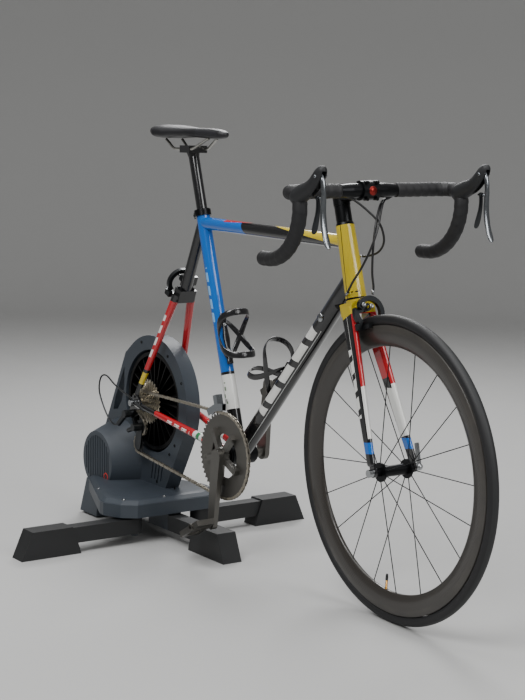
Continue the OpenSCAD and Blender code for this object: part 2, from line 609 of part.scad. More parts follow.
// lever body on the front of each drop, in the bar's own frame
hood_root = [52, -8];
hood_mid = [96, 10];
hood_horn = [134, 42];
lever_pivot = [130, 36];
slot_w = 11;
lever_pin_r = 2.5;
module both_sides() for (s = [-1, 1]) translate([0, s * bar_half_w, 0]) children();
module lever_hoods() color("#242526") steered() translate(bar_c) both_sides() {
    difference() {
        union() {
            hull() {
                translate([hood_root.x, 0, hood_root.y]) sphere(r = 20, $fn = 32);
                translate([hood_mid.x, 0, hood_mid.y]) sphere(r = 17, $fn = 32);
            }
            hull() {
                translate([hood_mid.x, 0, hood_mid.y]) sphere(r = 17, $fn = 32);
                translate([hood_horn.x, 0, hood_horn.y]) sphere(r = 14, $fn = 32);
            }
        }
        translate([120, -slot_w / 2, -60]) cube([90, slot_w, 60 + 46]);
        translate([98, -slot_w / 2, -60]) cube([30, slot_w, 60 + 16]);
        translate([0, -bar_half_w, 0]) bar_solid(tape_r);
        translate([0, bar_half_w, 0]) bar_solid(tape_r);
    }
    translate([lever_pivot.x, -9, lever_pivot.y]) rotate([-90, 0, 0]) cylinder(h = 18, r = lever_pin_r);
}
blade_path = smooth([[130, 36], [141, 14], [141, -20], [143, -50], [149, -80], [160, -106]], 4);
blade_t = [for (i = [0:len(blade_path) - 1]) 9 - 3.5 * i / (len(blade_path) - 1)];
paddle_pivot = [124, -8];
blade_w = 10;
module brake_lever() translate(bar_c) difference() {
    union() {
        translate([0, blade_w / 2, 0]) rotate([90, 0, 0]) linear_extrude(blade_w) polygon(strip(blade_path, blade_t));
        translate([lever_pivot.x, -blade_w / 2, lever_pivot.y]) rotate([-90, 0, 0]) cylinder(h = blade_w, r = 8);
        translate([paddle_pivot.x - 6, 0, paddle_pivot.y]) rotate([0, 90, 0]) cylinder(h = 22, r = 2.2);
    }
    translate([lever_pivot.x, -20, lever_pivot.y]) rotate([-90, 0, 0]) cylinder(h = 40, r = lever_pin_r + run_gap);
}
paddle_path = smooth([[123, -10], [124, -34], [118, -62], [112, -82]], 4);
module shift_paddle() translate(bar_c) difference() {
    union() {
        translate([0, 5, 0]) rotate([90, 0, 0]) linear_extrude(10)
            polygon(strip(paddle_path, [for (p = paddle_path) 4]));
        translate([paddle_pivot.x - 4, 0, paddle_pivot.y]) rotate([0, 90, 0]) cylinder(h = 8, r = 5);
    }
    translate([paddle_pivot.x - 10, 0, paddle_pivot.y]) rotate([0, 90, 0]) cylinder(h = 20, r = 2.2 + run_gap);
}
module brake_lever_right() color("#8A8C8E") steered() translate([0, -bar_half_w, 0]) brake_lever();
module brake_lever_left() color("#8A8C8E") steered() translate([0, bar_half_w, 0]) brake_lever();
module shift_paddle_right() color("#3A3B3D") steered() translate([0, -bar_half_w, 0]) shift_paddle();
module shift_paddle_left() color("#3A3B3D") steered() translate([0, bar_half_w, 0]) shift_paddle();

// caliper arms: z up, y across, x away from the frame, origin on the centre bolt
arm_t = 10;
layer_1 = 27;
layer_2 = layer_1 + arm_t + pass_gap;
pad_drop = 44;
pad_y = rim_half_w + 3.5;
module arm_plate(x0) translate([x0, 0, 0]) rotate([90, 0, 90]) linear_extrude(arm_t) children();
module pad(s, x0) translate([x0 + 1, s < 0 ? -pad_y - 9 : pad_y, -pad_drop - 5]) cube([34, 9, 10]);
module arm_right() difference() {
    union() {
        arm_plate(layer_1) {
            circle(r = 9);
            translate([0, -12]) ring_sector(24, 36, 160, 228);
            rotate(197) translate([0, -5]) square([30, 10]);
        }
        pad(-1, layer_1);
        translate([layer_1, -pad_y - 20, -pad_drop - 5]) cube([arm_t, 14, 14]);
    }
    rotate([0, 90, 0]) cylinder(h = 80, r = bolt_r + run_gap);
}
module arm_left() difference() {
    union() {
        arm_plate(layer_2) {
            translate([-side_pivot.x, side_pivot.y]) circle(r = 9);
            translate([0, -12]) ring_sector(25, 36, -48, 140);
        }
        pad(1, layer_1);
        translate([layer_1, pad_y + 6, -pad_drop - 5]) cube([2 * arm_t + pass_gap, 14, 14]);
    }
    translate([0, -side_pivot.x, side_pivot.y]) rotate([0, 90, 0]) cylinder(h = 80, r = bolt_r + run_gap);
    rotate([0, 90, 0]) cylinder(h = 80, r = bolt_r + 3);
}
module front_brake_arm_right() color("#3A3B3D") steered() on_steer(0, 0, front_brake_t) arm_right();
module front_brake_arm_left() color("#3A3B3D") steered() on_steer(0, 0, front_brake_t) arm_left();
module rear_brake_arm_right() color("#3A3B3D") place() on_stay(-8, 0, brake_t) arm_left();
module rear_brake_arm_left() color("#3A3B3D") place() on_stay(-8, 0, brake_t) arm_right();

// ================= front wheel =================
bed_r = wheel_r - tyre_r - 10;
module wheel_place() translate(front_axle) rotate([90, 0, 0]) children();
module tyre() color("#1E1E1F") steered() wheel_place() rotate_extrude($fn = 120) difference() {
    translate([wheel_r - tyre_r, 0]) circle(r = tyre_r);
    translate([bed_r - 20, -20]) square([20, 40]);
}
module rim() color("#3A3733") steered() wheel_place() rotate_extrude($fn = 120) difference() {
    polygon([[rim_in_r, -2], [rim_in_r + 1.5, -4], [rim_in_r + 22, -rim_half_w - 0.5], [bed_r - 1, -rim_half_w],
        [bed_r, -rim_half_w + 1], [bed_r, rim_half_w - 1], [bed_r - 1, rim_half_w],
        [rim_in_r + 22, rim_half_w + 0.5], [rim_in_r + 1.5, 4], [rim_in_r, 2]]);
    polygon([[rim_in_r + 6, -3], [rim_in_r + 22, -rim_half_w + 2], [bed_r - 5, -rim_half_w + 2],
        [bed_r - 5, rim_half_w - 2], [rim_in_r + 22, rim_half_w - 2], [rim_in_r + 6, 3]]);
}
flange_y = 35;
flange_r = 21;
spoke_r = 1.1;
module spokes() color("#2A2B2D") steered() for (i = [0:spoke_count - 1])
    let(a = i * 360 / spoke_count + 4, s = i % 2 == 0 ? 1 : -1)
    rod(front_axle + [(flange_r - 3) * cos(a), s * flange_y, (flange_r - 3) * sin(a)],
        front_axle + [(rim_in_r + 3) * cos(a), s * 0.8, (rim_in_r + 3) * sin(a)], spoke_r);
hub_axle_r = 4.5;
module front_hub() color("#1C1C1E") steered() difference() {
    union() {
        ycyl(front_axle.x, front_axle.z, -end_y + 1, end_y - 1, 9);
        ycyl(front_axle.x, front_axle.z, -flange_y, flange_y, 12);
        for (s = [-1, 1]) ycyl(front_axle.x, front_axle.z, s * flange_y - 2, s * flange_y + 2, flange_r);
    }
    ycyl(front_axle.x, front_axle.z, -60, 60, hub_axle_r + run_gap);
}
module front_skewer() color("#8A8C8E") steered() {
    ycyl(front_axle.x, front_axle.z, -end_y, end_y, hub_axle_r);
    ycyl(front_axle.x, front_axle.z, -end_y - fork_end_t - 3, end_y + fork_end_t + 6, skewer_r);
    ycyl(front_axle.x, front_axle.z, -end_y - fork_end_t - 12, -end_y - fork_end_t, 8.5);
    ycyl(front_axle.x, front_axle.z, end_y + fork_end_t, end_y + fork_end_t + 6, 9);
}
module front_skewer_lever() color("#8A8C8E") steered()
    translate(front_axle) rotate([0, -20, 0]) cam_lever(end_y + fork_end_t + 6);

// ================= cranks and rings =================
arm_y = 61;                           // inner face of the crank arms
arm_w = 13;
pedal_axle_r = 4.5;
pedal_l = 66;
crank_end = crank_l * [-sin(crank_angle), 0, -cos(crank_angle)];
module crank_place() translate(bb) rotate([0, crank_angle, 0]) children();
module crank_arm(s) difference() {
    translate([0, s < 0 ? -arm_y : arm_y + arm_w, 0]) rotate([90, 0, 0]) linear_extrude(arm_w)
        rotate(s < 0 ? -90 : 90) polygon(link_points(19, 12.5, crank_l));
    if (s > 0) translate([0, arm_y - 20, 0]) rotate([-90, 0, 0]) cylinder(h = 40, r = spindle_r);
}
bolt_circle = 65;
module crank_right() color("#4A4742") place() crank_place() {
    crank_arm(-1);
    translate([0, -arm_y - 1, 0]) rotate([-90, 0, 0]) cylinder(h = 2 * arm_y + arm_w + 1, r = spindle_r);
    translate([0, -arm_y - 2, 0]) rotate([-90, 0, 0]) cylinder(h = 12.5, r = 24);
    difference() {
        for (i = [0:4]) rotate([0, 72 * i + 90, 0]) translate([15, -arm_y - 0.5, -7]) cube([58, arm_y - ring_y - 0.5, 14]);
        for (i = [0:4]) rotate([0, 72 * i + 90, 0]) translate([bolt_circle, -100, 0])
            rotate([-90, 0, 0]) cylinder(h = 80, r = 4);
    }
    translate([0, -arm_y - pedal_l, -crank_l]) rotate([-90, 0, 0]) cylinder(h = pedal_l, r = pedal_axle_r);
}
module crank_left() color("#4A4742") place() crank_place() {
    crank_arm(1);
    translate([0, arm_y, crank_l]) rotate([-90, 0, 0]) cylinder(h = pedal_l, r = pedal_axle_r);
}
module chainrings() color("#4A4742") place() crank_place() {
    difference() {
        union() {
            xz_extrude(-ring_y - 1, -ring_y + 1) polygon(tooth_points(ring_big));
            xz_extrude(-ring_y + 6.2, -ring_y + 8.2) polygon(tooth_points(ring_small));
        }
        ycyl(0, 0, -60, -30, 55);
    }
    for (i = [0:4]) rotate([0, 72 * i + 90, 0]) translate([bolt_circle, -arm_y - 1, 0])
        rotate([-90, 0, 0]) cylinder(h = arm_y - ring_y + 10, r = 4);
}
pedal_y = arm_y + arm_w + 3;
pedal_w = 56;
pedal_tilt = 30;                      // the tail hangs below the axle
module pedal_body(y0) difference() {
    union() {
        translate([0, y0, 0]) rotate([-90, 0, 0]) cylinder(h = pedal_w, r = 9);
        rotate([0, -pedal_tilt, 0]) difference() {
            translate([-58, y0 + 3, -7]) cube([90, pedal_w - 6, 14]);
            translate([-46, y0 + 13, -20]) cube([26, pedal_w - 26, 40]);
        }
    }
    translate([0, y0 - 5, 0]) rotate([-90, 0, 0]) cylinder(h = pedal_w + 10, r = pedal_axle_r + run_gap);
}
module pedal(s) pedal_body(s < 0 ? -pedal_y - pedal_w : pedal_y);
module pedal_right() color("#4A4742") place() translate(bb + crank_end) pedal(-1);
module pedal_left() color("#4A4742") place() translate(bb - crank_end) pedal(1);

// ================= chain and derailleurs =================
guide_c = [2, axle_h - 65.4];
tension_c = [-10, axle_h - 114.4];
jockey_n = 11;
jockey_r = pitch_r(jockey_n);
chain_h = 8;
// tangent angles are measured for loops that run clockwise seen from the right
ring_r = pitch_r(ring_big);
run_r = pitch_r(cogs[run_cog]);
function arc(c, r, a0, a1, n) = [for (i = [0:n]) let(a = a0 + (a1 - a0) * i / n) c + r * [cos(a), sin(a)]];
function open_a(c1, r1, c2, r2) = let(d = c2 - c1) atan2(d.y, d.x) + acos((r1 - r2) / norm(d));
function cross_a(c1, r1, c2, r2) = let(d = c2 - c1) atan2(d.y, d.x) - acos((r1 + r2) / norm(d));
bb2 = [bb.x, bb.z];
hub2 = [0, axle_h];
top_a = open_a(hub2, run_r, bb2, ring_r);
low_a = atan2(bb2.y - tension_c.y, bb2.x - tension_c.x) - acos((jockey_r - ring_r) / norm(bb2 - tension_c));
mid_a = atan2(guide_c.y - tension_c.y, guide_c.x - tension_c.x) + acos(2 * jockey_r / norm(guide_c - tension_c));
in_a = atan2(guide_c.y - hub2.y, guide_c.x - hub2.x) - acos((run_r + jockey_r) / norm(guide_c - hub2));
chain_path = concat(
    arc(hub2, run_r, in_a + 360, top_a, 12),
    arc(bb2, ring_r, top_a, low_a, 40),
    arc(tension_c, jockey_r, low_a, mid_a - 360, 12),
    arc(guide_c, jockey_r, mid_a - 180, in_a + 180, 12));
function closed_side(p, i) = let(n = len(p), d = unit(p[(i + 1) % n] - p[(i + n - 1) % n])) [-d.y, d.x];
module chain_band() difference() {
    polygon([for (i = [0:len(chain_path) - 1]) chain_path[i] + closed_side(chain_path, i) * chain_h / 2]);
    polygon([for (i = [0:len(chain_path) - 1]) chain_path[i] - closed_side(chain_path, i) * chain_h / 2]);
}
top_run = [hub2 + run_r * [cos(top_a), sin(top_a)], bb2 + ring_r * [cos(top_a), sin(top_a)]];
low_run = [tension_c + jockey_r * [cos(low_a), sin(low_a)], bb2 + ring_r * [cos(low_a), sin(low_a)]];
module chain() color("#8B8577") place() {
    for (y = [-ring_y - 2.5, -ring_y + 1.2]) xz_extrude(y, y + 1.3) chain_band();
    for (run = [top_run, low_run], k = [2:11]) let(p = run[0] + (run[1] - run[0]) * k / 13)
        ycyl(p.x, p.y, -ring_y - 2, -ring_y + 2, 3.2);
}
fd_r = ring_r + 5.4;                  // inside of the front derailleur cage
module front_derailleur() color("#8A8C8E") place() {
    for (y = [-ring_y - 5.5, -ring_y + 4.3]) translate([bb.x, 0, bb.z]) xz_extrude(y, y + 1.2)
        ring_sector(fd_r, fd_r + 17, 92, 126);
    translate([bb.x, 0, bb.z]) xz_extrude(-ring_y - 5.5, -ring_y + 5.5) ring_sector(fd_r + 16, fd_r + 18, 93, 113);
    on_seat(-14, -ring_y + 2, fd_s - 22) cube([16, ring_y - 29.5, 29]);
}
knuckle_c = guide_c;                  // the cage turns on the guide pulley's line
loop_path = smooth([[-52, -82, 283], [-66, -82, 273], [-92, -82, 272], [-130, -81, 294], [-170, -80, 346],
    [-166, -78, 386], [-138, -76, 395], [-94, -77, 378], [-40, -80, 364], [2, -83, 357], [34, -80, 342],
    [62, -75, 327]], 5);
module rear_derailleur_body() color("#3A3B3D") place() {
    ycyl(hanger.x, hanger.y, -rear_old / 2 - dropout_t - 18, -rear_old / 2 + 4, 5);
    ycyl(hanger.x, hanger.y, -rear_old / 2 - dropout_t - 18, -rear_old / 2 - dropout_t - 0.5, 10);
    rod([hanger.x, -81, hanger.y], [-60, -82, 276], 7);
    sweep(loop_path, 2.2);
}
module rear_derailleur_knuckle() color("#3A3B3D") place() difference() {
    union() {
        ycyl(knuckle_c.x, knuckle_c.y, -76, -54, 10);
        rod([knuckle_c.x - 2, -69, knuckle_c.y - 2], [knuckle_c.x - 34, -68, knuckle_c.y - 14], 6);
    }
    ycyl(knuckle_c.x, knuckle_c.y, -70, -50, 4 + run_gap);
}
cage_gap = 5;
module cage_plate(y) xz_extrude(y, y + 1.5) translate(guide_c)
    rotate(atan2(tension_c.y - guide_c.y, tension_c.x - guide_c.x)) polygon(link_points(12, 15, norm(tension_c - guide_c)));
module rear_derailleur_cage() color("#3A3B3D") place() {
    cage_plate(-ring_y - cage_gap - 1.5);
    cage_plate(-ring_y + cage_gap);
    for (c = [guide_c, tension_c]) ycyl(c.x, c.y, -ring_y - cage_gap - 1, -ring_y + cage_gap + 1, 2.5);
    ycyl(knuckle_c.x, knuckle_c.y, -69, -ring_y - cage_gap - 1, 4);
}
module jockey(c) difference() {
    union() {
        translate([c.x, 0, c.y]) xz_extrude(-ring_y - 0.9, -ring_y + 0.9) polygon(tooth_points(jockey_n));
        ycyl(c.x, c.y, -ring_y - 4.4, -ring_y + 4.4, 7);
    }
    ycyl(c.x, c.y, -ring_y - 10, -ring_y + 10, 2.5 + run_gap);
}
module guide_pulley() color("#232425") place() jockey(guide_c);
module tension_pulley() color("#232425") place() jockey(tension_c);

// ================= cables =================
// control housings, from the bar to the frame and to the front brake
housing_r = 2.5;
routes = [
    [[884, -32, 905], [894, -14, 886], [905, 12, 858], [903, 27, 822], [880, 33, 796], [848, 29, 784], [824, 24, 782]],
    [[884, 36, 905], [898, 22, 890], [915, 0, 852], [915, -16, 810], [899, -28, 766], [873, -33, 730], [846, -28, 700]],
    [[882, 30, 904], [895, 16, 884], [908, -2, 848], [912, -10, 800], [904, -4, 752], [897, 6, 722], [893, 8, 706]]];
module cable_housings() color("#1C1C1E") place() for (r = routes) sweep(smooth(r, 6), housing_r);

trainer_housing();
trainer_base();
brake_housing();
front_leg();
front_foot();
side_leg_right();
side_leg_left();
side_foot_right();
side_foot_left();
drive_belt();
trainer_axle();
rear_skewer_lever();
drive_pulley();
cassette();
brake_rotor();
head_tube();
top_tube();
down_tube();
seat_tube();
bottom_bracket();
seat_stays();
chain_stays();
seat_clamp();
bottle_cages();
headset();
seatpost();
saddle_rails();
saddle();
fork();
stem();
handlebar();
bar_tape();
lever_hoods();
brake_lever_right();
brake_lever_left();
shift_paddle_right();
shift_paddle_left();
front_brake_arm_right();
front_brake_arm_left();
rear_brake_arm_right();
rear_brake_arm_left();
tyre();
rim();
spokes();
front_hub();
front_skewer();
front_skewer_lever();
crank_right();
chainrings();
crank_left();
pedal_right();
pedal_left();
chain();
front_derailleur();
rear_derailleur_body();
rear_derailleur_knuckle();
rear_derailleur_cage();
guide_pulley();
tension_pulley();
cable_housings();
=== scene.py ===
import math
import bmesh
import bpy
import mathutils
import numpy as np
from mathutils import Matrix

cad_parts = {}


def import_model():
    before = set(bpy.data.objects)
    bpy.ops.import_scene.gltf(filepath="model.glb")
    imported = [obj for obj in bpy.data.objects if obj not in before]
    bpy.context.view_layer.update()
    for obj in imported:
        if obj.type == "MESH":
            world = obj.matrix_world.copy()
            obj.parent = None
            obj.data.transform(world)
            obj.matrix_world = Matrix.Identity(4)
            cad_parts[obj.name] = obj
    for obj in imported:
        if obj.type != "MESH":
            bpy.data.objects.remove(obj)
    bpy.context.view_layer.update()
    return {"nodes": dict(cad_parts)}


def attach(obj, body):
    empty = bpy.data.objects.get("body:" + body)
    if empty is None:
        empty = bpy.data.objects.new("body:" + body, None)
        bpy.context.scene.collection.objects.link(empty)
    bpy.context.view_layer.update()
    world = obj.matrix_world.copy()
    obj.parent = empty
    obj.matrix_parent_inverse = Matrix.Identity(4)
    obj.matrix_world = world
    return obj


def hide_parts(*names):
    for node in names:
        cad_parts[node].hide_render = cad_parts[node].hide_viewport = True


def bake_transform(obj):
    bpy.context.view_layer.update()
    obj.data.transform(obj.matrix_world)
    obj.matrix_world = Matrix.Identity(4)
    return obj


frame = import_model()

nodes = frame["nodes"]
print("frame loaded, %d CAD nodes" % len(nodes))

# reference points
# Points are written in the bicycle's own millimetres, with x = 0 at the rear axle,
# and turned into row metres here.
rowShift = np.array([-525.0, 41.0, 0.0])
crankCentre = np.array([400.686, 0.0, 266.2])
frontAxle = np.array([991.0, 0.0, 335.0])
headTilt = math.radians(16.1)
seatTilt = math.radians(17.5)
steerUp = np.array([-math.sin(headTilt), 0, math.cos(headTilt)])
steerAhead = np.array([math.cos(headTilt), 0, math.sin(headTilt)])
seatUp = np.array([-math.sin(seatTilt), 0, math.cos(seatTilt)])
seatAhead = np.array([math.cos(seatTilt), 0, math.sin(seatTilt)])
steerBase = frontAxle - 41.2 * steerAhead
restTurn = math.radians(-2.27)


def turnVector(v, angle=restTurn):
    v = np.asarray(v, float)
    along = (v @ steerUp)[..., None] * steerUp
    return v * math.cos(angle) + np.cross(steerUp, v) * math.sin(angle) + along * (1 - math.cos(angle))


def steered(p):
    return steerBase + turnVector(np.asarray(p, float) - steerBase)


def steerPoint(ahead, y, up):
    return steerBase + ahead * steerAhead + up * steerUp + np.array([0, y, 0])


def toRow(p):
    return (np.asarray(p, float) + rowShift) / 1000


barCentre = steerPoint(100 * math.cos(math.radians(-6)), 0, 611 + 100 * math.sin(math.radians(-6)))


# material helpers
def linear(hexText):
    channels = [int(hexText[i:i + 2], 16) / 255 for i in (1, 3, 5)]
    return [c / 12.92 if c <= 0.04045 else ((c + 0.055) / 1.055) ** 2.4 for c in channels] + [1.0]


def put(tree, kind, inputs=None, **settings):
    node = tree.nodes.new(kind)
    for key, value in settings.items():
        setattr(node, key, value)
    for key, value in (inputs or {}).items():
        socket = node.inputs[key]
        if isinstance(value, bpy.types.NodeSocket):
            tree.links.new(value, socket)
        else:
            socket.default_value = value
    return node


def calc(tree, operation, a, b=0.0, c=0.0):
    return put(tree, "ShaderNodeMath", {0: a, 1: b, 2: c}, operation=operation).outputs[0]


def blendColour(tree, factor, a, b):
    node = put(tree, "ShaderNodeMix", {"Factor": factor}, data_type="RGBA")
    for socket, value in ((node.inputs[6], a), (node.inputs[7], b)):
        if isinstance(value, bpy.types.NodeSocket):
            tree.links.new(value, socket)
        else:
            socket.default_value = value
    return node.outputs[2]


def startMaterial(name):
    material = bpy.data.materials.new(name)
    material.use_nodes = True
    tree = material.node_tree
    surface = tree.nodes["Principled BSDF"]
    place = put(tree, "ShaderNodeTexCoord").outputs["Object"]
    return material, tree, surface, place


def finishSurface(tree, surface, place, colour, rough, metal, fine, bumpHeight, coat=0.0, spread=0.06):
    cloud = put(tree, "ShaderNodeTexNoise", {"Vector": place, "Scale": 9.0, "Detail": 3.0}).outputs["Fac"]
    shade = put(tree, "ShaderNodeMapRange", {"Value": cloud, "From Min": 0.3, "From Max": 0.7,
                                             "To Min": 1 - spread, "To Max": 1 + spread}).outputs[0]
    tinted = put(tree, "ShaderNodeVectorMath", {0: colour, "Scale": shade}, operation="SCALE").outputs[0]
    tree.links.new(tinted, surface.inputs["Base Color"])
    grain = put(tree, "ShaderNodeTexNoise", {"Vector": place, "Scale": 1.0 / fine, "Detail": 2.0}).outputs["Fac"]
    roughness = put(tree, "ShaderNodeMapRange", {"Value": cloud, "From Min": 0.3, "From Max": 0.7,
                                                 "To Min": rough * 0.88, "To Max": rough * 1.14}).outputs[0]
    tree.links.new(roughness, surface.inputs["Roughness"])
    bump = put(tree, "ShaderNodeBump", {"Height": grain, "Distance": bumpHeight, "Strength": 0.7})
    tree.links.new(bump.outputs[0], surface.inputs["Normal"])
    surface.inputs["Metallic"].default_value = metal
    surface.inputs["Coat Weight"].default_value = coat
    surface.inputs["Coat Roughness"].default_value = 0.06


# fine is the size of the grain in metres
def plainMaterial(name, colour, rough, metal=0.0, fine=0.0008, bumpHeight=0.00005, coat=0.0, spread=0.06):
    material, tree, surface, place = startMaterial(name)
    base = put(tree, "ShaderNodeRGB")
    base.outputs[0].default_value = linear(colour)
    finishSurface(tree, surface, place, base.outputs[0], rough, metal, fine, bumpHeight, coat, spread)
    return material


# A half space is (direction, distance): it holds where position . direction > distance, in row metres.
def beyond(direction, origin, distance, turned=False):
    direction = np.asarray(direction, float)
    origin = np.asarray(origin, float)
    if turned:
        direction, origin = turnVector(direction), steered(origin)
    direction = direction / np.linalg.norm(direction)
    return tuple(direction), float(toRow(origin) @ direction + distance / 1000)


def before(direction, origin, distance, turned=False):
    return beyond(-np.asarray(direction, float), origin, -distance, turned)


def halfMask(tree, vector, half):
    dot = put(tree, "ShaderNodeVectorMath", {0: vector, 1: half[0]}, operation="DOT_PRODUCT").outputs["Value"]
    return calc(tree, "GREATER_THAN", dot, half[1])


# Lacquer in flat colours: each layer is (colour, half spaces, facing half spaces, stripes),
# laid over the one before.
# Stripes are (direction, pitch, filled share) in row metres.
def lacquer(name, base, layers, rough=0.16, coat=0.6):
    material, tree, surface, place = startMaterial(name)
    facing = put(tree, "ShaderNodeNewGeometry").outputs["Normal"]
    colour = put(tree, "ShaderNodeRGB")
    colour.outputs[0].default_value = linear(base)
    colour = colour.outputs[0]
    for tint, spaces, faces, stripes in layers:
        mask = 1.0
        for vector, halves in ((place, spaces), (facing, faces)):
            for half in halves:
                mask = calc(tree, "MULTIPLY", mask, halfMask(tree, vector, half))
        if stripes:
            direction, pitch, share = stripes
            dot = put(tree, "ShaderNodeVectorMath", {0: place, 1: direction}, operation="DOT_PRODUCT").outputs["Value"]
            phase = calc(tree, "FRACT", calc(tree, "DIVIDE", dot, pitch))
            mask = calc(tree, "MULTIPLY", mask, calc(tree, "LESS_THAN", phase, share))
        colour = blendColour(tree, mask, colour, linear(tint))
    finishSurface(tree, surface, place, colour, rough, 0.0, 0.0025, 0.000012, coat, 0.03)
    return material


def wear(materialOrList, *names):
    for name in names:
        mesh = nodes[name].data
        mesh.materials.clear()
        mesh.materials.append(materialOrList)


def roundEdges(names, width, segments=2):
    for name in names:
        edge = nodes[name].modifiers.new("edge rounding", "BEVEL")
        edge.width = width / 1000
        edge.segments = segments
        edge.limit_method = "ANGLE"
        edge.angle_limit = math.radians(38)
        edge.harden_normals = True


# mesh helpers
def makeObject(name, points, faces, material, smooth=True):
    mesh = bpy.data.meshes.new(name)
    mesh.from_pydata([tuple(p) for p in points], [], [tuple(int(i) for i in f) for f in faces])
    mesh.update()
    # a closed piece whose volume comes out negative is inside out
    solid = bmesh.new()
    solid.from_mesh(mesh)
    if solid.calc_volume(signed=True) < 0 and all(len(edge.link_faces) == 2 for edge in solid.edges):
        mesh.flip_normals()
    solid.free()
    if smooth:
        mesh.polygons.foreach_set("use_smooth", [True] * len(mesh.polygons))
    mesh.materials.append(material)
    obj = bpy.data.objects.new(name, mesh)
    bpy.context.scene.collection.objects.link(obj)
    return obj


# Grid of rows x columns points, row by row. closeRound joins the last column to the first,
# closeLong the last row.
def gridFaces(rows, columns, closeRound=True, closeLong=False):
    faces = []
    for i in range(rows if closeLong else rows - 1):
        for k in range(columns if closeRound else columns - 1):
            a, b = i * columns + k, i * columns + (k + 1) % columns
            c, d = ((i + 1) % rows) * columns + (k + 1) % columns, ((i + 1) % rows) * columns + k
            faces.append((a, b, c, d))
    return faces


def runAlong(path, closed=False):
    path = np.asarray(path, float)
    n = len(path)
    ahead = np.array([path[(i + 1) % n if closed else min(i + 1, n - 1)]
                      - path[(i - 1) % n if closed else max(i - 1, 0)]
                      for i in range(n)])
    ahead /= np.linalg.norm(ahead, axis=1)[:, None]
    start = np.array([0, 0, 1.0]) if abs(ahead[0][2]) < 0.9 else np.array([1.0, 0, 0])
    side = np.cross(ahead[0], start)
    sides = []
    for i in range(n):
        side = side - ahead[i] * (side @ ahead[i])
        side = side / np.linalg.norm(side)
        sides.append(side)
    sides = np.array(sides)
    return path, ahead, sides, np.cross(ahead, sides)


# Tube point = path(i) + r(i, k) (side cos a + up sin a), a = 2 pi k / around
def tubeGrid(path, radius, around=16):
    path, ahead, sides, ups = runAlong(path)
    angle = np.arange(around) * 2 * math.pi / around
    ring = sides[:, None, :] * np.cos(angle)[None, :, None] + ups[:, None, :] * np.sin(angle)[None, :, None]
    radius = np.broadcast_to(np.asarray(radius, float), (len(path), around))
    return (path[:, None, :] + radius[:, :, None] * ring).reshape(-1, 3)


def tube(name, path, radius, material, around=16):
    path = np.asarray(path, float)
    grid = tubeGrid(path, radius, around)
    rows = len(path)
    faces = [tuple(f[::-1]) for f in gridFaces(rows, around)]
    points = np.vstack([grid, path[0], path[-1]])
    for k in range(around):
        faces.append((rows * around, k, (k + 1) % around))
        faces.append((rows * around + 1, (rows - 1) * around + (k + 1) % around, (rows - 1) * around + k))
    return makeObject(name, toRow(points), faces, material)


# Catmull-Rom curve through the points, m steps a span
def smoothPath(points, m=8):
    p = np.asarray(points, float)
    out = []
    for i in range(len(p) - 1):
        a, b, c, d = p[max(i - 1, 0)], p[i], p[i + 1], p[min(i + 2, len(p) - 1)]
        for t in np.arange(m) / m:
            out.append(0.5 * (2 * b + (c - a) * t + (2 * a - 5 * b + 4 * c - d) * t * t
                              + (3 * b - a - 3 * c + d) * t ** 3))
    return np.array(out + [p[-1]])


# Turned part: profile (radius, along) pairs spun about an axis through centre
def spin(name, centre, axis, profile, material, around=48, turned=False, closed=False):
    axis = np.asarray(axis, float) / np.linalg.norm(axis)
    side = np.cross(axis, [0, 0, 1.0] if abs(axis[2]) < 0.9 else [1.0, 0, 0])
    side /= np.linalg.norm(side)
    up = np.cross(axis, side)
    angle = np.arange(around) * 2 * math.pi / around
    ring = side * np.cos(angle)[:, None] + up * np.sin(angle)[:, None]
    points = np.array([centre + axis * l + ring * r for r, l in profile]).reshape(-1, 3)
    if turned:
        points = steered(points)
    faces = gridFaces(len(profile), around, True, closed)
    if not closed:
        faces.append(tuple(range(around - 1, -1, -1)))
        faces.append(tuple((len(profile) - 1) * around + k for k in range(around)))
    return makeObject(name, toRow(points), faces, material)


# Flat band with a rounded section: point = path + width cos a (ahead x out) + thickness sin a (out)
def ribbon(name, path, outward, half, thick, material, around=14):
    path = np.asarray(path, float)
    ahead = np.gradient(path, axis=0)
    ahead /= np.linalg.norm(ahead, axis=1)[:, None]
    out = np.asarray(outward, float)
    out = out - ahead * (out * ahead).sum(axis=1)[:, None]
    out /= np.linalg.norm(out, axis=1)[:, None]
    wide = np.cross(ahead, out)
    half = np.broadcast_to(np.asarray(half, float), len(path))
    thick = np.broadcast_to(np.asarray(thick, float), len(path))
    angle = np.arange(around) * 2 * math.pi / around
    c, s = np.cos(angle), np.sin(angle)
    c, s = np.sign(c) * abs(c) ** 0.8, np.sign(s) * abs(s) ** 0.8
    grid = path[:, None, :] + (half[:, None] * c)[:, :, None] * wide[:, None, :] \
        + (thick[:, None] * s)[:, :, None] * out[:, None, :]
    n = len(path)
    faces = gridFaces(n, around)
    faces += [tuple(range(around - 1, -1, -1)), tuple((n - 1) * around + k for k in range(around))]
    return makeObject(name, toRow(grid.reshape(-1, 3)), faces, material)


# frame and fork paint
paint = {"blue": "#0A5FB4", "yellow": "#C6AE28", "red": "#B0141E", "black": "#111113", "white": "#DCDCD8"}
down = steerPoint(0, 0, 428) - crankCentre
down /= np.linalg.norm(down)
downNormal = np.array([-down[2], 0, down[0]])
topStart = crankCentre + seatUp * 585
topAhead = steerPoint(0, 0, 509) - topStart
topAhead /= np.linalg.norm(topAhead)
topNormal = np.array([-topAhead[2], 0, topAhead[0]])
rightSide = [((0.0, -1.0, 0.0), 0.35)]
leftSide = [((0.0, 1.0, 0.0), 0.35)]


def band(direction, origin, low, high, turned=False):
    return [beyond(direction, origin, low, turned), before(direction, origin, high, turned)]


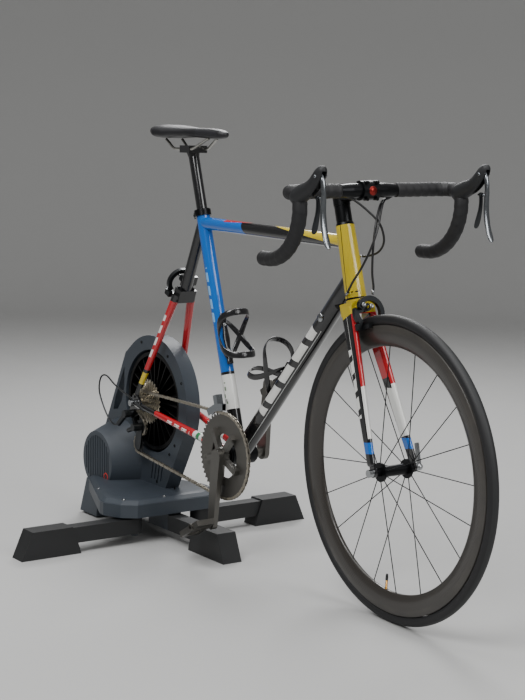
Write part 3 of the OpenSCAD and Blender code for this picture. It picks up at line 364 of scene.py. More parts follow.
# gloss lacquer over carbon tube, blue with a white foot
seatTubePaint = lacquer("gloss lacquer seat tube", paint["blue"], [
    (paint["black"], [before(seatUp, crankCentre, 205)], [], None),
    (paint["white"], band(seatUp, crankCentre, 112, 198), [], None),
    ("#7FB2E0", band(seatUp, crankCentre, 330, 470) + band(seatAhead, crankCentre, -5, 5), rightSide,
     (tuple((seatUp + 0.3 * seatAhead) / 1.0), 0.034, 0.7)),
    ("#6E7F6A", band(seatUp, crankCentre, 126, 180) + band(seatAhead, crankCentre, 1, 6), rightSide,
     (tuple(seatUp), 0.018, 0.55))])
# gloss lacquer top tube, blue, a black middle with a red patch, and yellow growing towards the head
topTubePaint = lacquer("gloss lacquer top tube", paint["blue"], [
    (paint["black"], [beyond(topAhead + 0.75 * topNormal, topStart, 152)], [], None),
    (paint["red"], band(topAhead, topStart, 105, 215) + [beyond(topNormal - 0.045 * topAhead, topStart, 5.5)], [], None),
    (paint["yellow"], [beyond(topNormal + 0.092 * topAhead, topStart, 44)], [], None)])
# gloss lacquer down tube, black with a row of white blocks
downTubePaint = lacquer("gloss lacquer down tube", paint["black"], [
    (paint["white"], band(down, crankCentre, 168, 470) + band(downNormal, crankCentre, -12.5, 12.5), rightSide,
     (tuple(down + 0.5 * downNormal), 0.076, 0.74)),
    (paint["white"], band(down, crankCentre, 168, 470) + band(downNormal, crankCentre, -12.5, 12.5), leftSide,
     (tuple(down + 0.35 * downNormal), 0.076, 0.62)),
    ("#B9BAB8", band(down, crankCentre, 60, 480) + band(downNormal, crankCentre, -17, -15.8), [], None)])
# gloss lacquer head tube, yellow, with a black rear edge that is painted shadow and curved pinstripes; the thin black
# line down the camera side is partly pinstripe and partly a painted reflection of the cable housings
headStart = steerPoint(0, 0, 384)
headTubePaint = lacquer("gloss lacquer head tube", paint["yellow"], [
    # painted shadow: the rear edge of the head tube is darkened to black where shade falls
    (paint["black"], [before(steerAhead, headStart, -13)], [], None),
    # thin black line on the camera side: partly a printed pinstripe, partly a painted reflection of the cable housings
    (paint["black"], band(steerAhead - 0.05 * steerUp, headStart, -1.0, 0.6), rightSide, None),
    (paint["black"], band(steerUp, headStart, 10, 13), [((0.7, -0.7, 0.0), 0.4)], (tuple(steerAhead), 0.007, 0.5))])
stayStart = np.array([133.0, 0.0, 637.0])
stayDown = np.array([5.0 - 133.0, 0.0, 354.4 - 637.0])
stayDown /= np.linalg.norm(stayDown)
stayFront = np.array([-stayDown[2], 0, stayDown[0]])
# gloss lacquer seat stays: black bridge, red legs, a white motif, yellow band and black tips on the right
seatStayPaint = lacquer("gloss lacquer seat stays", paint["black"], [
    (paint["red"], [beyond(stayDown, stayStart, 18)], [], None),
    (paint["white"], band(stayDown, stayStart, 60, 196) + band(stayFront, stayStart, -4.5, 4.5)
     + [before([0, 1, 0], stayStart, 0)], rightSide,
     (tuple(stayDown + 0.4 * stayFront), 0.036, 0.62)),
    (paint["black"], [beyond(stayDown, stayStart, 222), before([0, 1, 0], stayStart, 0)], [], None),
    (paint["yellow"], band(stayDown, stayStart, 231, 265) + [before([0, 1, 0], stayStart, 0)], [], None),
    (paint["black"], [beyond(stayDown, stayStart, 272)], [], None)])
chainStart = np.array([386.7, 0.0, 269.2])
chainBack = np.array([16 - 386.7, 0.0, 338.4 - 269.2])
chainBack /= np.linalg.norm(chainBack)
chainUp = np.array([chainBack[2], 0, -chainBack[0]])
# gloss lacquer chain stays: red with white blocks, white and green at the crank end, black towards the dropouts
chainStayPaint = lacquer("gloss lacquer chain stays", paint["red"], [
    (paint["white"], band(chainBack, chainStart, 150, 250) + band(chainUp, chainStart, -4, 4)
     + [before([0, 1, 0], chainStart, 0)], rightSide,
     (tuple(chainBack + 0.3 * chainUp), 0.030, 0.66)),
    (paint["red"], band(chainBack, chainStart, 150, 250) + band(chainUp, chainStart, -1.2, 1.2), rightSide,
     (tuple(chainBack), 0.015, 0.5)),
    (paint["black"], [beyond(chainBack - 0.3 * chainUp, chainStart, 285)], [], None),
    (paint["white"], band(chainUp, chainStart, -7.5, -6), rightSide, None),
    (paint["white"], band(chainBack, chainStart, 101, 137), [], None),
    ("#2C7A4B", band(chainBack, chainStart, 112, 124), [], None)])
forkTop = steerPoint(0, 0, 354)
forkDown = steerPoint(36, 0, 20) - forkTop
forkDown /= np.linalg.norm(forkDown)
forkFront = np.array([-forkDown[2], 0, forkDown[0]])
frontFace = [(tuple(float(v) for v in turnVector(steerAhead)), 0.5)]
# gloss lacquer fork: yellow crown, black outside, red and white inside faces, blue bands, black tips
forkPaint = lacquer("gloss lacquer fork", paint["black"], [
    (paint["white"], band(forkDown, forkTop, 168, 284, True), frontFace, None),
    (paint["red"], band(forkDown + 0.35 * forkFront, forkTop, 14, 166, True), frontFace, None),
    (paint["red"], band(forkDown, forkTop, 14, 154, True) + [beyond([0, 1, 0], forkTop, 0, True)], [], None),
    (paint["white"], [beyond(forkDown - 0.3 * forkFront, forkTop, 168, True), before(forkDown, forkTop, 286, True),
                      beyond([0, 1, 0], forkTop, 0, True), beyond(forkFront, forkTop, -5, True)], [], None),
    (paint["white"], band(forkDown, forkTop, 84, 236, True) + band(forkFront, forkTop, -9, 3, True)
     + [before([0, 1, 0], forkTop, 0, True)], rightSide,
     (tuple(turnVector(forkDown + 0.4 * forkFront)), 0.040, 0.66)),
    (paint["white"], band(forkDown, forkTop, 10, 160, True) + band(forkFront, forkTop, 2.2, 3.4, True)
     + [before([0, 1, 0], forkTop, 0, True)], [], None),
    (paint["blue"], band(forkDown - 0.25 * forkFront, forkTop, 280, 304, True), [], None),
    (paint["yellow"], [before(forkDown + 0.2 * forkFront, forkTop, 12, True)], [], None)])
wear(seatTubePaint, "seat_tube")
wear(topTubePaint, "top_tube")
wear(downTubePaint, "down_tube")
wear(headTubePaint, "head_tube")
wear(seatStayPaint, "seat_stays")
wear(chainStayPaint, "chain_stays")
wear(forkPaint, "fork")
print("frame and fork painted")

# plain finishes
mouldedGrey = plainMaterial("moulded dark grey nylon", "#353C44", 0.5, fine=0.0006, bumpHeight=0.00008)
powderBlack = plainMaterial("powder coated steel", "#1E1F20", 0.55, fine=0.0005, bumpHeight=0.0001)
mouldedBlack = plainMaterial("moulded black nylon", "#1B1C1D", 0.5, fine=0.0008, bumpHeight=0.00008)
beltRubber = plainMaterial("moulded belt rubber", "#161617", 0.7, fine=0.001)
pulleyBlack = plainMaterial("anodised black aluminium fan wheel", "#0B0B0C", 0.42, metal=0.6)
cogNickel = plainMaterial("nickel plated steel cogs", "#C9C2B2", 0.3, metal=0.85, spread=0.12)
turnedSteel = plainMaterial("turned grey steel", "#6A6E72", 0.35, metal=1.0)
polishedSteel = plainMaterial("polished stainless steel", "#A5A7A9", 0.2, metal=1.0)
anodisedBlack = plainMaterial("anodised black aluminium", "#17181A", 0.3, metal=0.75)
satinAlloy = plainMaterial("satin dark aluminium", "#3C3E40", 0.32, metal=0.9)
leverAlloy = plainMaterial("polished grey aluminium", "#8B8F93", 0.22, metal=1.0)
carbonGloss = plainMaterial("clear coated carbon post", "#141416", 0.14, coat=0.7, bumpHeight=0.00001)
crankGrey = plainMaterial("anodised titanium grey crank", "#63615D", 0.32, metal=0.8)
ringGrey = plainMaterial("hard anodised chainring", "#605E5A", 0.38, metal=0.8)
railMetal = plainMaterial("satin titanium rail", "#B9B8B2", 0.26, metal=1.0)
cageCarbon = plainMaterial("clear coated carbon cage", "#171719", 0.22, coat=0.5)
spokeBlack = plainMaterial("black coated stainless spoke", "#242527", 0.35, metal=0.7)
housingSkin = plainMaterial("lined cable housing", "#141416", 0.42, fine=0.0006)
wear(mouldedGrey, "trainer_housing", "trainer_base", "brake_housing")
wear(powderBlack, "front_leg", "side_leg_right", "side_leg_left")
wear(mouldedBlack, "front_foot", "side_foot_right", "side_foot_left", "guide_pulley", "tension_pulley")
wear(beltRubber, "drive_belt")
wear(pulleyBlack, "drive_pulley")
wear(cogNickel, "cassette")
wear(turnedSteel, "brake_rotor")
wear(polishedSteel, "trainer_axle", "rear_skewer_lever", "front_skewer", "front_skewer_lever")
wear(anodisedBlack, "bottom_bracket", "seat_clamp", "headset", "stem", "handlebar", "front_hub")
wear(satinAlloy, "shift_paddle_right", "shift_paddle_left", "front_brake_arm_right", "front_brake_arm_left",
     "rear_brake_arm_right", "rear_brake_arm_left", "rear_derailleur_body", "rear_derailleur_knuckle",
     "rear_derailleur_cage")
wear(leverAlloy, "brake_lever_right", "brake_lever_left", "front_derailleur")
wear(carbonGloss, "seatpost")
wear(crankGrey, "crank_right", "crank_left", "pedal_right", "pedal_left")
wear(ringGrey, "chainrings")
wear(railMetal, "saddle_rails")
wear(cageCarbon, "bottle_cages")
wear(spokeBlack, "spokes")
roundEdges(["trainer_housing", "trainer_base", "brake_housing"], 2.5, 3)
roundEdges(["front_leg", "side_leg_right", "side_leg_left", "front_foot", "side_foot_right", "side_foot_left"], 2.0)
roundEdges(["crank_right", "crank_left", "pedal_right", "pedal_left", "stem", "seat_clamp"], 1.2)
roundEdges(["front_brake_arm_right", "front_brake_arm_left", "rear_brake_arm_right", "rear_brake_arm_left",
            "brake_lever_right", "brake_lever_left", "shift_paddle_right", "shift_paddle_left"], 1.0)
print("finishes on")

# saddle
saddle = {"rear": 43.0, "length": 277.0, "base": 1021.0, "stations": 72, "around": 48}
# Half width w(u), top height t(u), edge height e(u) and edge thickness b(u) are read along the length,
# and the section is y = w cos a |cos a|^-0.3, z = edge + (top - edge) sin a above and - b |sin a| below.
saddleCurve = {
    "u": [0, 4, 14, 34, 62, 95, 130, 165, 205, 240, 262, 273, 277],
    "half": [22, 44, 59, 67, 64, 50, 34, 25, 21, 19.5, 16, 10, 3],
    "top": [38, 43, 45.5, 46, 44, 41.5, 39.5, 38.5, 37.5, 35.5, 32.5, 28, 24],
    "edge": [34, 33, 30, 26, 25, 27, 28, 26, 24, 22.5, 22, 22, 22],
    "under": [4, 8, 12, 14, 13, 12, 12, 12, 12, 11, 9, 6, 2]}
grid = []
for u in 0.5 - 0.5 * np.cos(np.linspace(0.02, math.pi - 0.02, saddle["stations"])):
    at = u * saddle["length"]
    half, top, edge, under = [np.interp(at, saddleCurve["u"], saddleCurve[k]) for k in ("half", "top", "edge", "under")]
    for a in np.arange(saddle["around"]) * 2 * math.pi / saddle["around"]:
        c, s = math.cos(a), math.sin(a)
        y = half * math.copysign(abs(c) ** 0.72, c)
        dip = 1.6 * math.exp(-(y / 9) ** 2) * math.exp(-((at - 110) / 70) ** 2)
        z = edge + (top - edge) * s ** 0.85 - dip if s >= 0 else edge - under * abs(s) ** 0.6
        grid.append((saddle["rear"] + at, y, saddle["base"] + z))
rows, around = saddle["stations"], saddle["around"]
faces = gridFaces(rows, around)
faces.append(tuple(range(around - 1, -1, -1)))
faces.append(tuple((rows - 1) * around + k for k in range(around)))
# smooth microfibre cover over foam
material, tree, surface, place = startMaterial("microfibre saddle cover")
cell = put(tree, "ShaderNodeTexVoronoi", {"Vector": place, "Scale": 900.0}).outputs["Distance"]
tree.links.new(put(tree, "ShaderNodeBump", {"Height": cell, "Distance": 0.0002, "Strength": 0.35}).outputs[0],
               surface.inputs["Normal"])
nose = calc(tree, "GREATER_THAN", put(tree, "ShaderNodeSeparateXYZ", {0: place}).outputs[0], (215 - 525) / 1000)
sideOn = calc(tree, "GREATER_THAN", put(tree, "ShaderNodeVectorMath", {0: place, 1: (0, -1, 0)},
                                        operation="DOT_PRODUCT").outputs["Value"], -0.041 + 0.0165)
tone = blendColour(tree, calc(tree, "MULTIPLY", nose, sideOn), linear("#17171A"), linear("#202024"))
tree.links.new(tone, surface.inputs["Base Color"])
surface.inputs["Roughness"].default_value = 0.46
saddleTop = makeObject("saddle_cover", toRow(grid), faces, material)
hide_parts("saddle")
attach(saddleTop, "seat")
print("saddle done")

# bar tape
tape = {"radius": 15.2, "lift": 0.9, "wrap": 21.0, "around": 28, "step": 2.5}


def barPath(side):
    bend, reach, drop, half = 30.0, 58.0, 143.0, 213.0
    front = reach - bend
    low = drop - front
    line = [(0, y, 0) for y in np.arange(75, half - bend, 6.0)]
    line += [(bend - bend * math.cos(t), half - bend + bend * math.sin(t), 0)
             for t in np.linspace(0, math.pi / 2, 12)]
    line += [(bend + front * math.sin(t), half, -front + front * math.cos(t))
             for t in np.linspace(0.1, math.pi / 2, 12)]
    line += [(bend + front - low + low * math.cos(t), half, -front - low * math.sin(t))
             for t in np.linspace(0.06, math.pi / 2, 26)]
    line += [(bend + front - low - t, half, -front - low) for t in (6, 12, 18, 24, 26.5)]
    line = np.array(line) * [1, side, 1]
    gaps = np.linalg.norm(np.diff(line, axis=0), axis=1)
    along = np.concatenate([[0], np.cumsum(gaps)])
    even = np.arange(0, along[-1], tape["step"])
    return even, np.stack([np.interp(even, along, line[:, k]) for k in range(3)], axis=1)


# cork and rubber bar tape
tapeRubber = plainMaterial("cork rubber bar tape", "#161618", 0.62, fine=0.0011, bumpHeight=0.00018)
# soft hood rubber
hoodRubber = plainMaterial("textured hood rubber", "#1A1B1D", 0.56, fine=0.0012, bumpHeight=0.0001)
for side, word in ((-1, "right"), (1, "left")):
    along, line = barPath(side)
    angle = np.arange(tape["around"]) / tape["around"]
    # overlap ridge: the tape rises over each turn and steps down to the next
    rise = ((along[:, None] / tape["wrap"] - side * angle[None, :]) % 1.0)
    radius = tape["radius"] + tape["lift"] * (rise * 1.25 - 1.25 * np.clip((rise - 0.82) / 0.18, 0, 1) * rise)
    radius[0] *= 0.97
    wrapped = tube("bar_tape_" + word, steered(line + barCentre), radius, tapeRubber, tape["around"])
    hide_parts("bar_tape")
    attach(wrapped, "steering")
    end = barCentre + line[-1] - np.array([2.0, 0, 0])
    plug = spin("bar_plug_" + word, end, [-1, 0, 0],
                [(0.01, 4.5), (8, 4.2), (12.5, 3), (13.5, 1), (13.5, -3), (0.01, -3)],
                mouldedBlack, 32, True)
    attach(plug, "steering")

# lever hoods
hood = {"around": 30}
# centreline stations: x and z from the bar centre, half width, half height
hoodStations = np.array([(40, -6, 15, 17), (52, -6, 18.5, 20), (64, -1, 17.6, 19.5), (80, 5, 16.2, 18), (96, 11, 15.4, 16.8),
                         (110, 20, 14.6, 16), (122, 32, 13.6, 15.2), (131, 42, 12.6, 14), (139, 50, 9.5, 10.0),
                         (143, 54, 5, 5), (145, 56, 0.6, 0.6)], float)
for side, word in ((-1, "right"), (1, "left")):
    flat = smoothPath(hoodStations, 6)
    path, ahead, sides, ups = runAlong(np.stack([flat[:, 0], np.zeros(len(flat)), flat[:, 1]], axis=1))
    lateral = np.array([0, 1.0, 0])
    grid = []
    for i in range(len(path)):
        normal = np.cross(lateral, ahead[i])
        for a in np.arange(hood["around"]) * 2 * math.pi / hood["around"]:
            grid.append(path[i] + lateral * flat[i, 2] * math.cos(a) + normal * flat[i, 3] * math.sin(a))
    grid = np.array(grid) + barCentre + [0, side * 213.0, 0]
    n, r = len(path), hood["around"]
    faces = gridFaces(n, r) + [tuple(range(r - 1, -1, -1)), tuple((n - 1) * r + k for k in range(r))]
    body = makeObject("hood_" + word, toRow(steered(grid)), faces, hoodRubber)
    # the slot that the brake lever swings in
    corner = np.array([(x, y, z) for x in (0, 1) for y in (0, 1) for z in (0, 1)], float)
    boxFaces = [(0, 1, 3, 2), (4, 6, 7, 5), (0, 4, 5, 1), (2, 3, 7, 6), (0, 2, 6, 4), (1, 5, 7, 3)]
    for low, high in (((120, -5.6, -60), (210, 5.6, 46)), ((98, -5.6, -60), (128, 5.6, 16))):
        block = np.array(low) + corner * (np.array(high) - np.array(low)) + barCentre + [0, side * 213.0, 0]
        cutter = makeObject("slot_cutter", toRow(steered(block)), boxFaces, hoodRubber, False)
        cut = body.modifiers.new("lever slot", "BOOLEAN")
        cut.object = cutter
        cut.operation = "DIFFERENCE"
        bpy.context.view_layer.update()
        shaped = bpy.data.meshes.new_from_object(body.evaluated_get(bpy.context.evaluated_depsgraph_get()))
        body.modifiers.clear()
        body.data = shaped
        bpy.data.objects.remove(cutter)
    edge = body.modifiers.new("edge rounding", "BEVEL")
    edge.width, edge.segments, edge.limit_method = 0.0008, 2, "ANGLE"
    edge.angle_limit = math.radians(40)
    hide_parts("lever_hoods")
    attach(body, "steering")
    pivot = barCentre + np.array([130.0, side * 213.0, 36.0])
    for s in (-1, 1):
        cap = spin("lever_pivot_cap_%s_%s" % (word, "ab"[s > 0]), pivot, [0, s, 0],
                   [(0.01, 15.2), (2.6, 15.0), (3.4, 14.4), (3.4, 11), (0.01, 11)], leverAlloy, 24, True)
        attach(cap, "steering")
print("bar tape and hoods done")

# brake levers
# blade centreline from the bar centre: x, z, half width, half thickness
bladeStations = np.array([(131, 40, 5.4, 6.5), (139, 26, 5.4, 5.5), (142.5, 8, 5.6, 4.6), (142, -14, 6.2, 3.9),
                          (141.5, -36, 7.0, 3.4), (144, -58, 7.4, 3.1), (149, -78, 7.2, 2.9),
                          (155, -93, 7.6, 2.8), (160, -103, 6.4, 2.6), (163, -108, 3.0, 1.4)], float)
for side, word in ((-1, "right"), (1, "left")):
    flat = smoothPath(bladeStations, 6)
    path = np.stack([flat[:, 0], np.zeros(len(flat)), flat[:, 1]], axis=1)
    out = np.stack([-np.gradient(flat[:, 1]), np.zeros(len(flat)), np.gradient(flat[:, 0])], axis=1)
    narrow = np.where(flat[:, 1] > -2, np.minimum(flat[:, 2], 4.9), flat[:, 2])
    moved = path + barCentre + [0, side * 213.0, 0]
    blade = ribbon("lever_blade_" + word, steered(moved), turnVector(out), narrow, flat[:, 3], leverAlloy, 18)
    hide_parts("brake_lever_" + word)
    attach(blade, "lever_" + word[0])
    pin = barCentre + np.array([114.0, side * 213.0, -8.0])
    pinPiece = spin("paddle_pin_" + word, pin, [1, 0, 0], [(0.01, 0), (2.2, 0), (2.2, 26), (0.01, 26)], leverAlloy, 16, True)
    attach(pinPiece, "lever_" + word[0])

# shift paddles
# wing centreline from the bar centre: x, z, half width, half thickness
paddleStations = np.array([(122.5, -6, 4.6, 2.6), (123.5, -22, 4.8, 2.0), (122, -38, 5.4, 1.9), (118.5, -52, 6.6, 1.8),
                           (114, -66, 7.4, 1.8), (110.5, -76, 6.6, 1.7), (109, -81, 3.2, 1.2)], float)
for side, word in ((-1, "right"), (1, "left")):
    flat = smoothPath(paddleStations, 6)
    path = np.stack([flat[:, 0], np.zeros(len(flat)), flat[:, 1]], axis=1)
    out = np.stack([-np.gradient(flat[:, 1]), np.zeros(len(flat)), np.gradient(flat[:, 0])], axis=1)
    moved = path + barCentre + [0, side * 213.0, 0]
    wing = ribbon("paddle_wing_" + word, steered(moved), turnVector(out), flat[:, 2], flat[:, 3], satinAlloy, 16)
    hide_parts("shift_paddle_" + word)
    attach(wing, "paddle_" + word[0])
    hub = spin("paddle_hub_" + word, barCentre + np.array([120.2, side * 213.0, -8.0]), [1, 0, 0],
               [(2.4, 0), (4.6, 0), (5, 0.5), (5, 7), (4.6, 7.6), (2.4, 7.6)], satinAlloy, 24, True, True)
    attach(hub, "paddle_" + word[0])

# bottle cages
# Each cage wraps a bottle of radius R about an axis at distance c from the tube's own axis.
# Arms are (angle, height) pairs.
cage = {"radius": 40.0, "half": 7.0, "thick": 1.8}
cageArms = [[(176, 10), (164, 22), (146, 44), (122, 72), (98, 94), (72, 106), (40, 112), (0, 113)],
            [(172, 104), (156, 92), (136, 72), (118, 50), (96, 30), (66, 14), (32, 7), (0, 6)]]


def cageSpot(start, along, outDir, c, angle, height):
    across = np.array([0, 1.0, 0])
    radial = outDir * math.cos(angle) + across * math.sin(angle)
    return start + along * height + outDir * c + radial * cage["radius"], radial


for word, start, along, outDir, tubeRadius in (("seat_tube", crankCentre + seatUp * 225, seatUp, seatAhead, 17.0),
                                               ("down_tube", crankCentre + down * 200, down, downNormal, 22.0)):
    c = tubeRadius + 42
    for n, arm in enumerate(cageArms):
        half = smoothPath([(a, h, 0) for a, h in arm], 6)
        line = np.vstack([half, half[-2::-1] * [-1, 1, 1]])
        spots = [cageSpot(start, along, outDir, c, math.radians(a), h) for a, h, _ in line]
        wide = cage["half"] * (0.75 + 0.4 * np.sin(np.linspace(0, math.pi, len(spots))))
        piece = ribbon("cage_%s_arm_%d" % (word, n), [q[0] for q in spots], [q[1] for q in spots],
                       wide, cage["thick"], cageCarbon)
        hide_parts("bottle_cages")
        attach(piece, "stand")
    back = [start + along * t + outDir * (tubeRadius + 2.2) for t in np.linspace(-2, 125, 24)]
    piece = ribbon("cage_%s_back" % word, back, [outDir] * 24,
                   8.0 + 1.5 * np.cos(np.linspace(0, 4 * math.pi, 24)), 2.2, cageCarbon)
    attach(piece, "stand")
    for t in (32, 96):
        bolt = spin("cage_%s_bolt_%d" % (word, t), start + along * t + outDir * (tubeRadius + 3.6), outDir,
                    [(0.01, 1.6), (1.6, 1.6), (1.8, 2.4), (3.6, 2.4), (4.2, 1.2), (4.2, -1)], polishedSteel, 24)
        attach(bolt, "stand")

print("levers and cages done")

# tyre
tyre = {"radius": 335.0, "section": 12.0, "around": 200, "profile": 40}
# Section angle a from the tread; the tyre's radius there is R - r + r cos a and its offset r sin a.
profile = []
for a in np.linspace(-2.5, 2.5, tyre["profile"]):
    r = tyre["section"] * (1.0 if abs(a) < 1.9 else 0.98)
    profile.append((tyre["radius"] - tyre["section"] + r * math.cos(a), r * math.sin(a)))
profile.append((tyre["radius"] - 21.4, 4.0))
profile.append((tyre["radius"] - 21.4, -4.0))
material, tree, surface, place = startMaterial("slick tyre rubber")
centre = toRow(steered(frontAxle))
axle = turnVector([0, 1, 0])
offset = put(tree, "ShaderNodeVectorMath", {0: place, 1: tuple(centre)}, operation="SUBTRACT").outputs[0]
across = put(tree, "ShaderNodeVectorMath", {0: offset, 1: tuple(axle)}, operation="DOT_PRODUCT").outputs["Value"]
reach = put(tree, "ShaderNodeVectorMath", {0: offset}, operation="LENGTH").outputs["Value"]
tread = calc(tree, "LESS_THAN", calc(tree, "ABSOLUTE", across), 0.0082)
outer = calc(tree, "GREATER_THAN", reach, 0.3235)
tone = blendColour(tree, calc(tree, "MULTIPLY", tread, outer), linear("#141416"), linear("#1F2021"))
grain = put(tree, "ShaderNodeTexNoise", {"Vector": place, "Scale": 500.0}).outputs["Fac"]
rings = calc(tree, "SINE", calc(tree, "MULTIPLY", across, 2 * math.pi / 0.0013))
height = calc(tree, "ADD", calc(tree, "MULTIPLY", rings, 0.35), grain)
tree.links.new(tone, surface.inputs["Base Color"])
tree.links.new(put(tree, "ShaderNodeBump", {"Height": height, "Distance": 0.00012, "Strength": 0.5}).outputs[0],
               surface.inputs["Normal"])
surface.inputs["Roughness"].default_value = 0.58
rubber = spin("tyre_casing", frontAxle, [0, 1, 0], profile, material, tyre["around"], True, True)
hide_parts("tyre")
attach(rubber, "front_wheel")

# rim
# deep carbon rim: profile (radius, offset), then a lighter brake track near the tyre
rimProfile = [(267, -2), (268.5, -4.2), (274, -6.6), (282, -9), (291, -10.7), (300, -11), (311.5, -10.5), (313, -9.5),
              (313, 9.5), (311.5, 10.5), (300, 11), (291, 10.7), (282, 9), (274, 6.6), (268.5, 4.2), (267, 2)]
material, tree, surface, place = startMaterial("clear coated carbon rim")
offset = put(tree, "ShaderNodeVectorMath", {0: place, 1: tuple(centre)}, operation="SUBTRACT").outputs[0]
reach = put(tree, "ShaderNodeVectorMath", {0: offset}, operation="LENGTH").outputs["Value"]
weave = put(tree, "ShaderNodeTexChecker", {"Vector": place, "Scale": 260.0, "Color1": linear("#2A2724"),
                                           "Color2": linear("#35312D")}).outputs["Color"]
track = calc(tree, "GREATER_THAN", reach, 0.2985)
cloud = put(tree, "ShaderNodeTexNoise", {"Vector": place, "Scale": 24.0, "Detail": 4.0}).outputs["Fac"]
worn = blendColour(tree, cloud, linear("#2C2A28"), linear("#45413C"))
tree.links.new(blendColour(tree, track, weave, worn), surface.inputs["Base Color"])
tree.links.new(put(tree, "ShaderNodeMapRange", {"Value": track, "To Min": 0.3, "To Max": 0.46}).outputs[0],
               surface.inputs["Roughness"])
surface.inputs["Coat Weight"].default_value = 0.25
deepRim = spin("rim_shell", frontAxle, [0, 1, 0], rimProfile, material, 200, True, True)
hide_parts("rim")
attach(deepRim, "front_wheel")

# valve
brass = plainMaterial("turned brass valve", "#A87C3E", 0.3, metal=1.0)
valveAngle = math.radians(266)
valveOut = np.array([math.cos(valveAngle), 0, math.sin(valveAngle)])
stemPart = spin("valve_stem", frontAxle + valveOut * 269, -valveOut,
                [(3.2, 0), (3.2, 3), (2.6, 3.4), (2.6, 26), (0.01, 26)], brass, 20, True)
cap = spin("valve_cap", frontAxle + valveOut * 247, -valveOut,
           [(2.9, 0), (3.1, 1), (3.1, 10), (2.2, 14), (0.01, 15)], mouldedBlack, 20, True)
for piece in (stemPart, cap):
    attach(piece, "front_wheel")
print("front wheel done")

# chain
chain = {"pitch": 12.7, "plate": 1.0, "y": -47.0}
ringRadius = 12.7 / (2 * math.sin(math.pi / 52))
cogRadius = 12.7 / (2 * math.sin(math.pi / 15))
jockeyRadius = 12.7 / (2 * math.sin(math.pi / 11))
hubFlat, crankFlat = np.array([0.0, 340.4]), np.array([crankCentre[0], 266.2])
guideFlat, tensionFlat = np.array([2.0, 275.0]), np.array([-10.0, 226.0])


def flatAngle(v):
    return math.atan2(v[1], v[0])


def openTangent(c1, r1, c2, r2):
    d = c2 - c1
    return flatAngle(d) + math.acos((r1 - r2) / np.linalg.norm(d))


def arcPoints(c, r, a0, a1, n):
    return [c + r * np.array([math.cos(a), math.sin(a)]) for a in np.linspace(a0, a1, n + 1)]


topA = openTangent(hubFlat, cogRadius, crankFlat, ringRadius)
d = crankFlat - tensionFlat
lowA = flatAngle(d) - math.acos((jockeyRadius - ringRadius) / np.linalg.norm(d))
d = guideFlat - tensionFlat
midA = flatAngle(d) + math.acos(2 * jockeyRadius / np.linalg.norm(d))
d = guideFlat - hubFlat
inA = flatAngle(d) - math.acos((cogRadius + jockeyRadius) / np.linalg.norm(d))
loop = np.array(arcPoints(hubFlat, cogRadius, inA + 2 * math.pi, topA, 30)
                + arcPoints(crankFlat, ringRadius, topA, lowA, 90)
                + arcPoints(tensionFlat, jockeyRadius, lowA, midA - 2 * math.pi, 30)
                + arcPoints(guideFlat, jockeyRadius, midA - math.pi, inA + math.pi, 30))
closedLoop = np.vstack([loop, loop[:1]])
reachAlong = np.concatenate([[0], np.cumsum(np.linalg.norm(np.diff(closedLoop, axis=0), axis=1))])
linkCount = 2 * round(reachAlong[-1] / chain["pitch"] / 2)
pinAt = np.arange(linkCount) * reachAlong[-1] / linkCount
pins = np.stack([np.interp(pinAt, reachAlong, closedLoop[:, k]) for k in (0, 1)], axis=1)
points, faces = [], []


# Link plate outline: two round ends joined by a narrow waist, thickened to one millimetre
def addPlate(a, b, y):
    step = b - a
    length = np.linalg.norm(step)
    ahead = step / length
    across = np.array([-ahead[1], ahead[0]])
    outline = []
    for t in np.linspace(math.pi / 2 + 0.5, 3 * math.pi / 2 - 0.5, 7):
        outline.append((4.1 * math.cos(t), 4.1 * math.sin(t)))
    outline.append((length / 2, -2.9))
    for t in np.linspace(-math.pi / 2 + 0.5, math.pi / 2 - 0.5, 7):
        outline.append((length + 4.1 * math.cos(t), 4.1 * math.sin(t)))
    outline.append((length / 2, 2.9))
    start, n = len(points), len(outline)
    for depth in (y, y + chain["plate"]):
        for u, v in outline:
            p = a + ahead * u + across * v
            points.append((p[0], depth, p[1]))
    faces.append(tuple(start + k for k in range(n)))
    faces.append(tuple(start + n + k for k in range(n - 1, -1, -1)))
    for k in range(n):
        faces.append((start + k, start + n + k, start + n + (k + 1) % n, start + (k + 1) % n))


def addRoller(c, radius, y0, y1, sides=10):
    start = len(points)
    for y in (y0, y1):
        for k in range(sides):
            t = 2 * math.pi * k / sides
            points.append((c[0] + radius * math.cos(t), y, c[1] + radius * math.sin(t)))
    faces.append(tuple(start + k for k in range(sides)))
    faces.append(tuple(start + sides + k for k in range(sides - 1, -1, -1)))
    for k in range(sides):
        faces.append((start + k, start + sides + k, start + sides + (k + 1) % sides, start + (k + 1) % sides))


# The chain is four runs: cassette, top run and rings stay with the stand, the part on the jockey wheels rides the cage,
# and the return run towards the derailleur and the short run above the jockey wheels back to the cassette are baked in
# place and left unattached.
ringEnd, guideEnd = reachAlong[121], reachAlong[183]
oiledSteel = plainMaterial("oiled steel chain plates", "#9C968A", 0.34, metal=0.9, spread=0.2)
for word in ("drive_run", "return_run", "cage_run", "guide_run"):
    points, faces = [], []
    for i in range(linkCount):
        part = "drive_run" if pinAt[i] < ringEnd else "cage_run" if pinAt[i] < guideEnd else "guide_run"
        if part == "cage_run" and pins[i][0] > 34:
            part = "return_run"
        if part != word:
            continue
        a, b = pins[i], pins[(i + 1) % linkCount]
        for side in (-1, 1):
            inner = 1.35 if i % 2 else 2.45
            addPlate(a, b, chain["y"] + (inner if side > 0 else -inner - chain["plate"]))
        addRoller(a, 1.8, chain["y"] - 3.7, chain["y"] + 3.7)
    links = makeObject("chain_" + word, toRow(points), faces, oiledSteel, False)
    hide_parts("chain")
    if word == "drive_run":
        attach(links, "stand")
    elif word == "return_run":
        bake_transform(links)
    elif word == "cage_run":
        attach(links, "mech_cage")
    else:
        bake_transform(links)
print("chain done, %d links" % linkCount)

